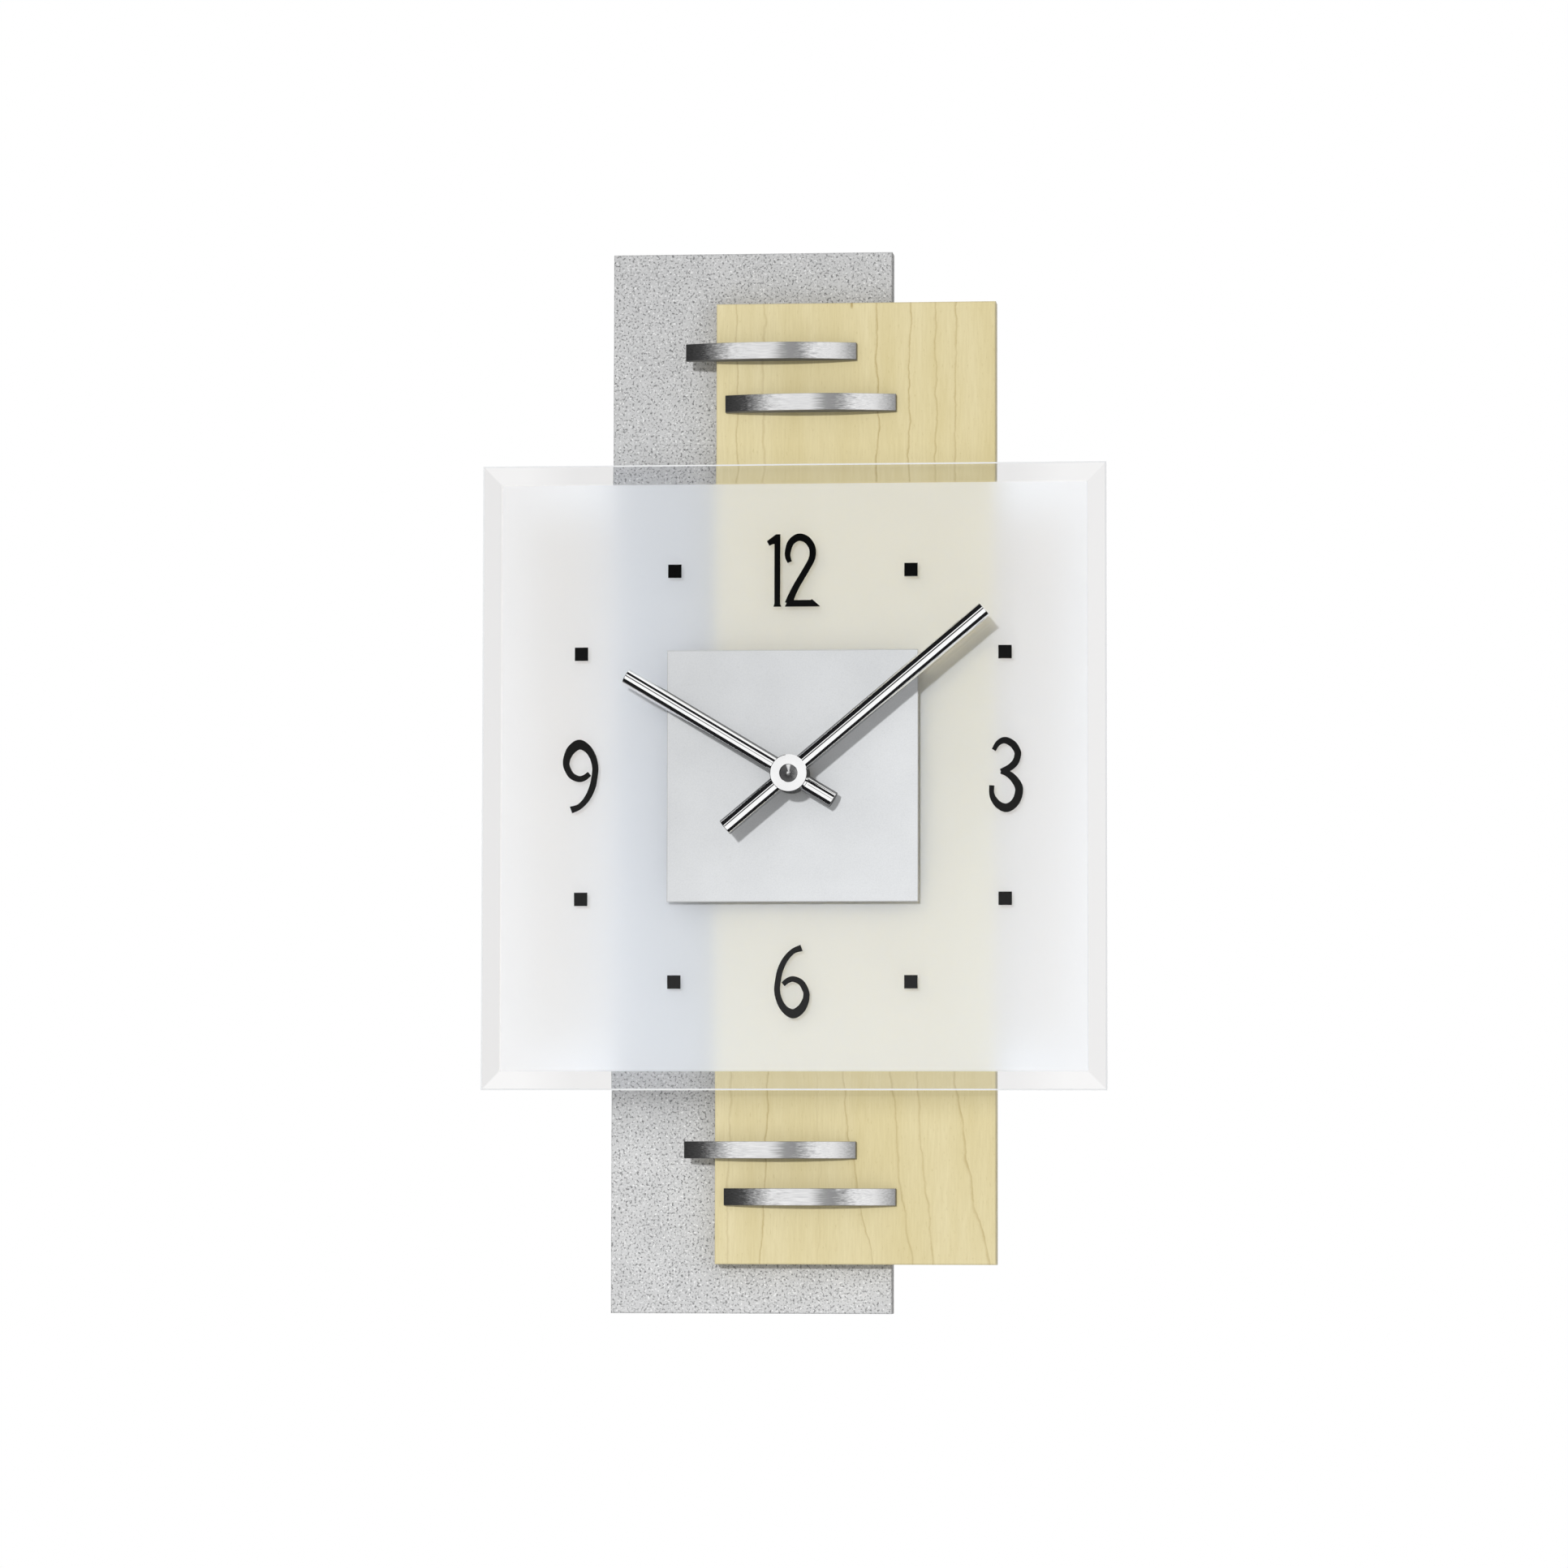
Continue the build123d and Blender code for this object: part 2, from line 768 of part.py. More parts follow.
hour_hand = hand(
    hour_angle, hour_length, hour_tail, hour_hub_back, hour_hub_front, hour_tube_radius + press_fit
)
hour_hand.label = "hour_hand"
export_step(hour_hand, "parts/hour_hand.step")

# Minute side: arbor with its cannon pinion and thread, clutch spring, minute hand and nut
hand_nut_back = minute_hub_front - hand_nut_sink - hand_nut_thickness
hand_nut_floor = hand_nut_back + hand_nut_thickness - hand_nut_cone
cannon_depth = centre_level + wheel_thickness + seat_gap
cannon_front = motion_level + wheel_thickness + pinion_margin
collar_depth = third_level + wheel_thickness / 2
motion_phase = meshed(0.0, cannon_teeth, motion_bearing, motion_teeth)
with BuildPart() as minute_arbor:
    extrude(discs(arbor_back, [axis], pivot_radius), amount=centre_level - arbor_back)
    extrude(discs(collar_depth, [axis], centre_seat_radius), amount=cannon_depth - collar_depth)
    extrude(discs(collar_depth, [axis], collar_radius), amount=collar_thickness)
    extrude(
        pinion_face(cannon_depth, axis, cannon_teeth, motion_module, 0.0),
        amount=cannon_front - cannon_depth,
    )
    extrude(discs(cannon_front, [axis], arbor_radius), amount=minute_hub_back - cannon_front)
    extrude(
        discs(minute_hub_back, [axis], arbor_thread_radius),
        amount=hand_nut_floor - seat_gap - minute_hub_back,
    )
minute_arbor.part.label = "minute_arbor"
export_step(minute_arbor.part, "parts/minute_arbor.step")

clutch_back = collar_depth + collar_thickness
clutch_front = centre_level - seat_gap
with BuildPart() as clutch_spring:
    clutch_bore = centre_seat_radius + press_fit
    with BuildSketch(Plane.XY):
        with BuildLine():
            Polyline(
                (clutch_bore, -clutch_back),
                (clutch_bore, -clutch_back - clutch_thickness),
                (clutch_radius, -clutch_front),
                (clutch_radius, clutch_thickness - clutch_front),
                close=True,
            )
        make_face()
    revolve(axis=Axis.Y)
clutch_spring.part.label = "clutch_spring"
export_step(clutch_spring.part, "parts/clutch_spring.step")

with BuildPart() as minute_hand:
    add(
        hand(
            minute_angle,
            minute_length,
            minute_tail,
            minute_hub_back,
            minute_hub_front,
            arbor_thread_radius + press_fit,
        )
    )
    extrude(
        discs(hand_nut_back, [axis], hand_nut_radius + screw_fit),
        amount=minute_hub_front - hand_nut_back,
        mode=Mode.SUBTRACT,
    )
minute_hand.part.label = "minute_hand"
export_step(minute_hand.part, "parts/minute_hand.step")

with BuildPart() as hand_nut:
    extrude(discs(hand_nut_back, [axis], hand_nut_radius), amount=hand_nut_thickness)
    nut_face = hand_nut_back + hand_nut_thickness
    with BuildSketch(Plane.XY):
        with BuildLine():
            Polyline(
                (0, -nut_face),
                (hand_nut_radius - hand_wall, -nut_face),
                (0, -hand_nut_floor),
                close=True,
            )
        make_face()
    revolve(axis=Axis.Y, mode=Mode.SUBTRACT)
    extrude(
        discs(hand_nut_back, [axis], arbor_thread_radius + press_fit),
        amount=hand_nut_floor - hand_nut_back,
        mode=Mode.SUBTRACT,
    )
hand_nut.part.label = "hand_nut"
export_step(hand_nut.part, "parts/hand_nut.step")

# Motion wheel on the case's stud, driven by the cannon pinion and driving the hour wheel
with BuildPart() as motion_wheel:
    motion_front = hour_level + wheel_thickness + pinion_margin
    extrude(
        wheel_face(motion_level, motion_at, motion_teeth, motion_module, motion_phase),
        amount=wheel_thickness,
    )
    extrude(
        pinion_face(motion_level, motion_at, motion_leaves, hour_module, motion_leaf_phase),
        amount=motion_front - motion_level,
    )
    extrude(
        discs(motion_level, [motion_at], stud_radius + running_fit),
        amount=motion_front - motion_level,
        mode=Mode.SUBTRACT,
    )
motion_wheel.part.label = "motion_wheel"
export_step(motion_wheel.part, "parts/motion_wheel.step")

# Setting knob behind the cover, with its arbor and the pinion that turns the motion wheel
setting_phase = meshed(motion_phase, motion_teeth, setting_bearing, setting_teeth)
knob_front = case_back - knob_gap
knob_back = knob_front - knob_thickness
setting_pinion_back = motion_level - pinion_margin
with BuildPart() as setting_knob:
    extrude(discs(knob_back, [setting_at], knob_radius), amount=knob_thickness)
    chamfer(setting_knob.edges().filter_by(GeomType.CIRCLE), knob_edge)
    with BuildSketch(at_depth(knob_back)):
        with Locations(setting_at):
            with PolarLocations(knob_radius, knob_grooves):
                Circle(knob_groove_radius)
    extrude(amount=knob_thickness, mode=Mode.SUBTRACT)
    extrude(
        discs(knob_front, [setting_at], setting_arbor_radius),
        amount=setting_pinion_back - knob_front,
    )
    extrude(
        pinion_face(setting_pinion_back, setting_at, setting_teeth, motion_module, setting_phase),
        amount=pinion_length,
    )
    extrude(
        discs(setting_pinion_back, [setting_at], pivot_radius),
        amount=arbor_front - setting_pinion_back,
    )
setting_knob.part.label = "setting_knob"
export_step(setting_knob.part, "parts/setting_knob.step")

# Centre wheel, which drives the minute arbor through the clutch spring
with BuildPart() as centre_wheel:
    extrude(wheel_face(centre_level, axis, centre_teeth, centre_module, 0.0), amount=wheel_thickness)
    extrude(
        discs(centre_level, [axis], centre_seat_radius + running_fit),
        amount=wheel_thickness,
        mode=Mode.SUBTRACT,
    )
centre_wheel.part.label = "centre_wheel"
export_step(centre_wheel.part, "parts/centre_wheel.step")

# Reduction from the rotor to the centre wheel: each arbor carries a wheel and a pinion
for label, place, wheel, pinion, next_wheel_teeth, bearing in (
    (
        "third_wheel",
        third_at,
        (third_level, third_teeth, third_module),
        (centre_level, centre_module),
        centre_teeth,
        third_bearing,
    ),
    (
        "seconds_wheel",
        seconds_at,
        (seconds_level, seconds_teeth, seconds_module),
        (third_level, third_module),
        third_teeth,
        seconds_bearing,
    ),
    (
        "intermediate_wheel",
        intermediate_at,
        (intermediate_level, intermediate_teeth, rotor_module),
        (seconds_level, seconds_module),
        seconds_teeth,
        intermediate_bearing,
    ),
):
    wheel_level, teeth, wheel_module = wheel
    pinion_level, pinion_module = pinion
    leaf_phase = meshed(0.0, next_wheel_teeth, bearing, leaves)
    with BuildPart() as train_wheel:
        extrude(discs(arbor_back, [place], pivot_radius), amount=arbor_length)
        extrude(wheel_face(wheel_level, place, teeth, wheel_module, 0.0), amount=wheel_thickness)
        extrude(
            pinion_face(pinion_level - pinion_margin, place, leaves, pinion_module, leaf_phase),
            amount=pinion_length,
        )
    train_wheel.part.label = label
    export_step(train_wheel.part, f"parts/{label}.step")

# Rotor: arbor with its pinion, and the magnet pressed onto it
rotor_phase = meshed(0.0, intermediate_teeth, rotor_bearing, leaves)
with BuildPart() as rotor_pinion:
    extrude(discs(arbor_back, [rotor_at], pivot_radius), amount=arbor_length)
    extrude(
        pinion_face(intermediate_level - pinion_margin, rotor_at, leaves, rotor_module, rotor_phase),
        amount=pinion_length,
    )
rotor_pinion.part.label = "rotor_pinion"
export_step(rotor_pinion.part, "parts/rotor_pinion.step")

with BuildPart() as rotor_magnet:
    extrude(discs(magnet_depth, [rotor_at], magnet_radius), amount=magnet_length)
    extrude(
        discs(magnet_depth, [rotor_at], pivot_radius + press_fit),
        amount=magnet_length,
        mode=Mode.SUBTRACT,
    )
rotor_magnet.part.label = "rotor_magnet"
export_step(rotor_magnet.part, "parts/rotor_magnet.step")

# Stator ring round the magnet, with the core that carries the coil
stator_bore = magnet_radius + stator_bore_gap
with BuildPart() as stator:
    extrude(discs(stator_depth, [rotor_at], stator_bore + stator_ring_width), amount=stator_thickness)
    core_length = core_end_x - rotor_at[0]
    extrude(
        slab(stator_depth, rotor_at[0] + core_length / 2, core_z, core_length, core_width),
        amount=stator_thickness,
    )
    extrude(discs(stator_depth, [rotor_at], stator_bore), amount=stator_thickness, mode=Mode.SUBTRACT)
stator.part.label = "stator"
export_step(stator.part, "parts/stator.step")

# Coil: bobbin on the core, and its winding
coil_depth = stator_depth + stator_thickness / 2
coil_end_x = coil_start_x + coil_length
core_hole = (stator_thickness + 2 * seat_gap, core_width + 2 * seat_gap)
bobbin_core = (core_hole[0] + 2 * bobbin_wall, core_hole[1] + 2 * bobbin_wall)
with BuildPart() as coil_bobbin:
    with BuildSketch(Plane.YZ.offset(coil_start_x)):
        with Locations((-coil_depth, core_z)):
            Rectangle(*bobbin_core)
    extrude(amount=coil_length)
    for flange_x in (coil_start_x, coil_end_x - coil_flange):
        with BuildSketch(Plane.YZ.offset(flange_x)):
            with Locations((-coil_depth, core_z)):
                Rectangle(coil_flange_side, coil_flange_side)
        extrude(amount=coil_flange)
    with BuildSketch(Plane.YZ.offset(coil_start_x)):
        with Locations((-coil_depth, core_z)):
            Rectangle(*core_hole)
    extrude(amount=coil_length, mode=Mode.SUBTRACT)
coil_bobbin.part.label = "coil_bobbin"
export_step(coil_bobbin.part, "parts/coil_bobbin.step")

with BuildPart() as coil_winding:
    with BuildSketch(Plane.YZ.offset(coil_start_x + coil_flange + seat_gap)):
        with Locations((-coil_depth, core_z)):
            RectangleRounded(winding_side, winding_side, winding_corner)
            Rectangle(*(side + 2 * seat_gap for side in bobbin_core), mode=Mode.SUBTRACT)
    extrude(amount=coil_length - 2 * (coil_flange + seat_gap))
coil_winding.part.label = "coil_winding"
export_step(coil_winding.part, "parts/coil_winding.step")

# Circuit board on the case's posts, with its chip and quartz crystal
with BuildPart() as circuit_board:
    extrude(slab(board_depth, board_x, board_z, board_width, board_height), amount=board_thickness)
circuit_board.part.label = "circuit_board"
export_step(circuit_board.part, "parts/circuit_board.step")

with BuildPart() as control_chip:
    extrude(
        slab(board_depth - chip_thickness, board_x, chip_z, chip_side, chip_side),
        amount=chip_thickness,
    )
    fillet(control_chip.faces().sort_by(Axis.Y)[-1].edges(), chip_edge_radius)
control_chip.part.label = "control_chip"
export_step(control_chip.part, "parts/control_chip.step")

with BuildPart() as quartz_crystal:
    with BuildSketch(Plane.XY.offset(crystal_z)):
        with Locations((board_x, crystal_radius + seat_gap - board_depth)):
            Circle(crystal_radius)
    extrude(amount=crystal_length)
quartz_crystal.part.label = "quartz_crystal"
export_step(quartz_crystal.part, "parts/quartz_crystal.step")

# Battery lying in its bay, and a contact at each end
battery_end = (battery_length + battery_nub_length) / 2
with BuildPart() as battery:
    for start, radius, length in (
        (-battery_end, battery_radius, battery_length),
        (battery_end - battery_nub_length, battery_nub_radius, battery_nub_length),
    ):
        with BuildSketch(Plane.YZ.offset(start)):
            with Locations((-battery_depth, battery_z)):
                Circle(radius)
        extrude(amount=length)
battery.part.label = "battery"
export_step(battery.part, "parts/battery.step")

for label, side in (("battery_contact_positive", 1), ("battery_contact_negative", -1)):
    wall_x = side * (inner_half - seat_gap)
    boss_length = inner_half - battery_end - 2 * seat_gap
    with BuildPart() as battery_contact:
        with BuildSketch(Plane.YZ.offset(wall_x)):
            with Locations((-battery_depth, battery_z)):
                Rectangle(contact_side, contact_side)
        extrude(amount=-side * contact_thickness)
        with BuildSketch(Plane.YZ.offset(wall_x)):
            with Locations((-battery_depth, battery_z)):
                Circle(contact_boss_radius)
        extrude(amount=-side * boss_length)
    battery_contact.part.label = label
    export_step(battery_contact.part, f"parts/{label}.step")
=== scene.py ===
import math

import bmesh
import bpy
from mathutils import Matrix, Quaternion, Vector


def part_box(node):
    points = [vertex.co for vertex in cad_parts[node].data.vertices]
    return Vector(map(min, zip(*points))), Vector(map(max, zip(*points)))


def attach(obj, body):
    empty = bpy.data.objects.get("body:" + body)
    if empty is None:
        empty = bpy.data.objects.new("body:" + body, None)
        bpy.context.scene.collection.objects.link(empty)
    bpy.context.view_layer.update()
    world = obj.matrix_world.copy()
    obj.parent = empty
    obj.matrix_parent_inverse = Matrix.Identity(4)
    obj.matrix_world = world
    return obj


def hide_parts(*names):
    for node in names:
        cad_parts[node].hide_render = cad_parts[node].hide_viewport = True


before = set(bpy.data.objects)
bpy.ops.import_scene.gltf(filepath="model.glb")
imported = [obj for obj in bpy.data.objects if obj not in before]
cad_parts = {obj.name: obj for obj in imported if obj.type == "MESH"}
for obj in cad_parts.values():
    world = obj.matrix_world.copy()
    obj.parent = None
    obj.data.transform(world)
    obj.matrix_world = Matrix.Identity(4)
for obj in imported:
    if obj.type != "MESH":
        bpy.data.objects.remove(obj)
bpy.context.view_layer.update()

scene = bpy.context.scene
scene.view_settings.view_transform = "Standard"
mm = 0.001
print("wall clock: frame loaded,", len(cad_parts), "nodes")


def newObject(name, data):
    obj = bpy.data.objects.new(name, data)
    scene.collection.objects.link(obj)
    return obj


def hideFrom(obj, *rays):
    for ray in rays:
        setattr(obj, "visible_" + ray, False)


# Camera

cameraView = {
    "place": (0.2157, -2.3697, -0.1498),  # right of the dial and a little below it
    "aim": (-0.0036, -0.029, -0.0029),  # where the view's centre meets the back of the glass
    "roll": 0.0015,
    "lens": 141.3,
    "sensor": 36.0,
    "clip": (0.05, 60),
}


def placeCamera(view):
    data = bpy.data.cameras.new("photoCamera")
    data.lens = view["lens"]
    data.sensor_width = view["sensor"]
    data.clip_start, data.clip_end = view["clip"]
    camera = newObject("photoCamera", data)
    camera.location = view["place"]
    toward = Vector(view["aim"]) - Vector(view["place"])
    camera.rotation_mode = "QUATERNION"
    camera.rotation_quaternion = toward.to_track_quat("-Z", "Y") @ Quaternion((0, 0, 1), view["roll"])
    scene.camera = camera


placeCamera(cameraView)
print("wall clock: camera placed")


# Node helpers

def put(tree, kind, feeds=None, **settings):  # one node, its inputs fed by values or by other sockets
    node = tree.nodes.new(kind)
    for key, value in settings.items():
        setattr(node, key, value)
    for key, value in (feeds or {}).items():
        if isinstance(value, bpy.types.NodeSocket):
            tree.links.new(value, node.inputs[key])
        else:
            node.inputs[key].default_value = value
    return node


def calc(tree, operation, first, second=0.0, third=0.0, clamp=False):
    feeds = {0: first, 1: second, 2: third}
    return put(tree, "ShaderNodeMath", feeds, operation=operation, use_clamp=clamp).outputs[0]


def times(tree, first, *others):
    for value in others:
        first = calc(tree, "MULTIPLY", first, value)
    return first


def vectorCalc(tree, operation, first, second=(0.0, 0.0, 0.0)):
    return put(tree, "ShaderNodeVectorMath", {0: first, 1: second}, operation=operation).outputs


def noise(tree, point, scale, detail, roughness=0.5):
    feeds = {"Vector": point, "Scale": scale, "Detail": detail, "Roughness": roughness}
    return put(tree, "ShaderNodeTexNoise", feeds).outputs[0]


def rgba(colour):
    return (*colour, 1.0) if isinstance(colour, tuple) and len(colour) == 3 else colour


def mixColour(tree, share, first, second, blend="MIX"):
    feeds = {0: share, 6: rgba(first), 7: rgba(second)}
    return put(tree, "ShaderNodeMix", feeds, data_type="RGBA", blend_type=blend).outputs[2]


def spread(tree, value, low, high, toLow=0.0, toHigh=1.0):  # a value stretched to a new range, and clamped
    feeds = {"Value": value, "From Min": low, "From Max": high, "To Min": toLow, "To Max": toHigh}
    return put(tree, "ShaderNodeMapRange", feeds).outputs[0]


def between(tree, share, atNone, atFull):  # a value that goes from one to the other with a share
    return spread(tree, share, 0.0, 1.0, atNone, atFull)


def blended(tree, first, second, part):  # this part of the first, and the rest of the second
    return calc(tree, "ADD", times(tree, first, part), times(tree, second, 1.0 - part))


def ramp(tree, value, stops):
    node = put(tree, "ShaderNodeValToRGB", {"Fac": value})
    stripe = node.color_ramp
    while len(stripe.elements) < len(stops):
        stripe.elements.new(1.0)
    for element, (place, level) in zip(stripe.elements, stops):
        element.position = place
        element.color = (level, level, level, 1.0)
    return node.outputs[0]


def partPlace(tree):  # the point on the part, in metres, as one vector and as x, y and z
    point = put(tree, "ShaderNodeTexCoord").outputs["Object"]
    split = put(tree, "ShaderNodeSeparateXYZ", {0: point})
    return point, split.outputs[0], split.outputs[1], split.outputs[2]


def squareReach(tree, x, z):  # the larger of the distances to the side and up or down from the dial's axis
    return calc(tree, "MAXIMUM", calc(tree, "ABSOLUTE", x), calc(tree, "ABSOLUTE", z))


def facingY(tree):  # y part of the normal: -1 on a front face, 0 on a side and 1 on a back face
    normal = put(tree, "ShaderNodeNewGeometry").outputs["Normal"]
    return put(tree, "ShaderNodeSeparateXYZ", {0: normal}).outputs[1]


def bump(tree, surface, height, strength, distance):
    node = put(tree, "ShaderNodeBump", {"Strength": strength, "Distance": distance, "Height": height})
    tree.links.new(node.outputs[0], surface.inputs["Normal"])


def feed(tree, surface, **sockets):  # Base_Color=..., Roughness=... and so on
    for key, value in sockets.items():
        socket = surface.inputs[key.replace("_", " ")]
        if isinstance(value, bpy.types.NodeSocket):
            tree.links.new(value, socket)
        else:
            socket.default_value = rgba(value)


def newFinish(name):
    finish = bpy.data.materials.new(name)
    finish.use_nodes = True
    tree = finish.node_tree
    return finish, tree, tree.nodes["Principled BSDF"]


def mixShaders(tree, share, first, second):
    feeds = {0: share, 1: first.outputs[0], 2: second.outputs[0]}
    return put(tree, "ShaderNodeMixShader", feeds).outputs[0]


def mixSurface(tree, share, first, second):  # the material shows a mix of two shaders
    tree.links.new(mixShaders(tree, share, first, second), tree.nodes["Material Output"].inputs["Surface"])


# Shared effects

noiseRange = (0.3, 0.7)  # nearly all of a fine noise lies in it
flatPoint = 0.52  # pointiness of a flat face, or a little over


def newGroup(name, inputs, *outputs):
    group = bpy.data.node_groups.new(name, "ShaderNodeTree")
    for label, value in inputs.items():
        kind = "NodeSocketVector" if isinstance(value, tuple) else "NodeSocketFloat"
        group.interface.new_socket(label, in_out="INPUT", socket_type=kind).default_value = value
    for label in outputs:
        group.interface.new_socket(label, in_out="OUTPUT", socket_type="NodeSocketFloat")
    return group, put(group, "NodeGroupInput").outputs, put(group, "NodeGroupOutput").inputs


def flakeGroup():  # small flakes: 0 in the dark ones, 1 in the bright ones
    group, given, result = newGroup("flakes", {"Size": 0.001, "Softness": 0.15}, "Flake")
    scale = calc(group, "DIVIDE", 1.0, given["Size"])
    grain = noise(group, partPlace(group)[0], scale, detail=2.5, roughness=0.6)
    low = calc(group, "SUBTRACT", 0.5, given["Softness"])
    high = calc(group, "ADD", 0.5, given["Softness"])
    group.links.new(spread(group, grain, low, high), result["Flake"])
    return group


def squiggleGroup():  # short dark worms, as in hammered or flecked paint
    group, given, result = newGroup("squiggles", {"Size": 0.001, "Width": 0.07}, "Squiggle")
    point = partPlace(group)[0]
    scale = calc(group, "DIVIDE", 1.0, given["Size"])
    ridge = calc(group, "ABSOLUTE", calc(group, "SUBTRACT", noise(group, point, scale, detail=1.0), 0.5))
    ridge = spread(group, ridge, 0.0, given["Width"], 1.0, 0.0)
    aside = vectorCalc(group, "ADD", point, (3.1, 1.7, 0.9))["Vector"]  # another noise cuts the worms up
    gaps = spread(group, noise(group, aside, scale, detail=0.0), 0.46, 0.56)
    group.links.new(times(group, ridge, gaps), result["Squiggle"])
    return group


def driftGroup():  # slow change over the surface, for uneven colour and gloss
    group, given, result = newGroup("drift", {"Size": 0.03}, "Drift")
    scale = calc(group, "DIVIDE", 1.0, given["Size"])
    slow = noise(group, partPlace(group)[0], scale, detail=3.0)
    group.links.new(spread(group, slow, *noiseRange), result["Drift"])
    return group


def brushGroup():  # fine lines, as many per metre along x, y and z as Lines says
    group, given, result = newGroup("brushed", {"Lines": (60.0, 9000.0, 9000.0)}, "Brush")
    stretched = vectorCalc(group, "MULTIPLY", partPlace(group)[0], given["Lines"])["Vector"]
    lines = noise(group, stretched, 1.0, detail=4.0, roughness=0.65)
    group.links.new(spread(group, lines, *noiseRange), result["Brush"])
    return group


def rubAndSheenGroup():  # 1 where an edge stands out, is rubbed and takes a painted sheen, 0 on the flat
    group, given, result = newGroup("edgeRubAndSheen", {"Reach": 0.08}, "Edge")
    sharp = put(group, "ShaderNodeNewGeometry").outputs["Pointiness"]
    high = calc(group, "ADD", flatPoint, given["Reach"])
    group.links.new(spread(group, sharp, flatPoint, high), result["Edge"])
    return group


def turnGroup():  # rings of a lathe round the dial's axis
    group, given, result = newGroup("turned", {"Pitch": 0.0002}, "Rings", "Radius")
    _, x, _, z = partPlace(group)
    flat = put(group, "ShaderNodeCombineXYZ", {0: x, 1: z}).outputs[0]
    radius = vectorCalc(group, "LENGTH", flat)["Value"]
    wave = calc(group, "SINE", calc(group, "DIVIDE", radius, given["Pitch"]))
    group.links.new(spread(group, wave, -1.0, 1.0), result["Rings"])
    group.links.new(radius, result["Radius"])
    return group


effects = {
    "flakes": flakeGroup(),
    "squiggles": squiggleGroup(),
    "drift": driftGroup(),
    "brushed": brushGroup(),
    "edgeRubAndSheen": rubAndSheenGroup(),
    "turned": turnGroup(),
}


def effect(tree, name, **values):  # a shared effect placed in a material with its own values
    node = put(tree, "ShaderNodeGroup", node_tree=effects[name])
    for key, value in values.items():
        node.inputs[key].default_value = value
    return node.outputs


def flakes(tree, size, softness):
    return effect(tree, "flakes", Size=size, Softness=softness)["Flake"]


def drifting(tree, size):
    return effect(tree, "drift", Size=size)["Drift"]


def brushed(tree, lines):
    return effect(tree, "brushed", Lines=lines)["Brush"]


print("wall clock: shared effects made")


# Studio: world, lamps, cards and floor

studio = {
    "ambient": 0.38,  # the share of soft light from all round
    "floorHeight": -0.62,
    "floorHalf": 4.0,
    "floorColour": (0.88, 0.88, 0.875),
    "floorPatch": (0.4, 0.98),  # size and tone of faint patches
    "floorRoughness": 0.8,
    "wallNear": (0.75, 0.68, 0.58),  # close behind the boards, in their shade
    "wallFar": (1.0, 0.985, 0.96),
    "wallFade": (0.099, 0.107),
    "wallHalf": (0.3, 0.4),
    "wallPlace": 0.001,
}
lamps = {  # toward: from the dial to the lamp
    "keySun": {
        "kind": "SUN", "toward": (-0.14, -1.0, 0.19), "distance": 3.0, "energy": 1.81,
        "angle": math.radians(3),
    },
    "softPanel": {"kind": "AREA", "toward": (-0.36, -1.0, 0.36), "distance": 2.6, "energy": 2.0, "size": 0.9},
    "backPanel": {"kind": "AREA", "toward": (-0.36, 1.0, 0.45), "distance": 2.8, "energy": 46.0, "size": 1.2},
}


def studioWorld():
    world = bpy.data.worlds.new("studio")
    world.use_nodes = True
    scene.world = world
    tree = world.node_tree
    tree.nodes.clear()
    grey, white = (
        put(tree, "ShaderNodeBackground", {"Color": (1, 1, 1, 1), "Strength": strength})
        for strength in (studio["ambient"], 1.0)
    )
    rays = put(tree, "ShaderNodeLightPath").outputs
    seen = calc(tree, "ADD", rays["Is Camera Ray"], rays["Is Glossy Ray"])
    seen = calc(tree, "ADD", seen, rays["Is Transmission Ray"], clamp=True)
    put(tree, "ShaderNodeOutputWorld", {"Surface": mixShaders(tree, seen, grey, white)})


def addLamp(name, kind, toward, distance, **settings):
    data = bpy.data.lights.new(name, kind)
    for key, value in settings.items():
        setattr(data, key, value)
    lamp = newObject(name, data)
    direction = Vector(toward).normalized()
    lamp.location = direction * distance
    lamp.rotation_mode = "QUATERNION"
    lamp.rotation_quaternion = direction.to_track_quat("Z", "Y")
    hideFrom(lamp, "camera", "glossy", "transmission")  # it lights surfaces but is not mirrored in them


studioWorld()
for lampName, lamp in lamps.items():
    addLamp(lampName, **lamp)


def plainEmission(name, colour):
    finish = bpy.data.materials.new(name)
    finish.use_nodes = True
    tree = finish.node_tree
    tree.nodes.clear()
    glow = put(tree, "ShaderNodeEmission", {"Color": rgba(colour), "Strength": 1.0})
    put(tree, "ShaderNodeOutputMaterial", {"Surface": glow.outputs[0]})
    return finish, tree, glow


def stageMesh(name, points, faces, finish):
    mesh = bpy.data.meshes.new(name)
    mesh.from_pydata(points, [], faces)
    mesh.materials.append(finish)
    obj = newObject(name, mesh)
    return obj


def stageSheet(name, corners, finish):
    return stageMesh(name, corners, [(0, 1, 2, 3)], finish)


def mirrorOnly(obj):  # a card that only reflections meet, as a flag beside the camera
    hideFrom(obj, "camera", "diffuse", "transmission", "volume_scatter", "shadow")


cards = {  # turn: degrees round the front axis from +X; tilt: degrees off that axis
    "upperLeftCard": {"turn": (103, 158), "tilt": (33, 112)},
    "leftCard": {"turn": (158, 205), "tilt": (28, 112)},
    "lowCard": {"turn": (205, 292), "tilt": (41, 122)},
    "rightCard": {"turn": (292, 380), "tilt": (50, 118)},
    "topStrip": {"turn": (25, 103), "tilt": (32, 64)},
}
cardTone = (0.012, 0.012, 0.013)
cardReach = 3.2  # metres from the dial
cardSteps = 12


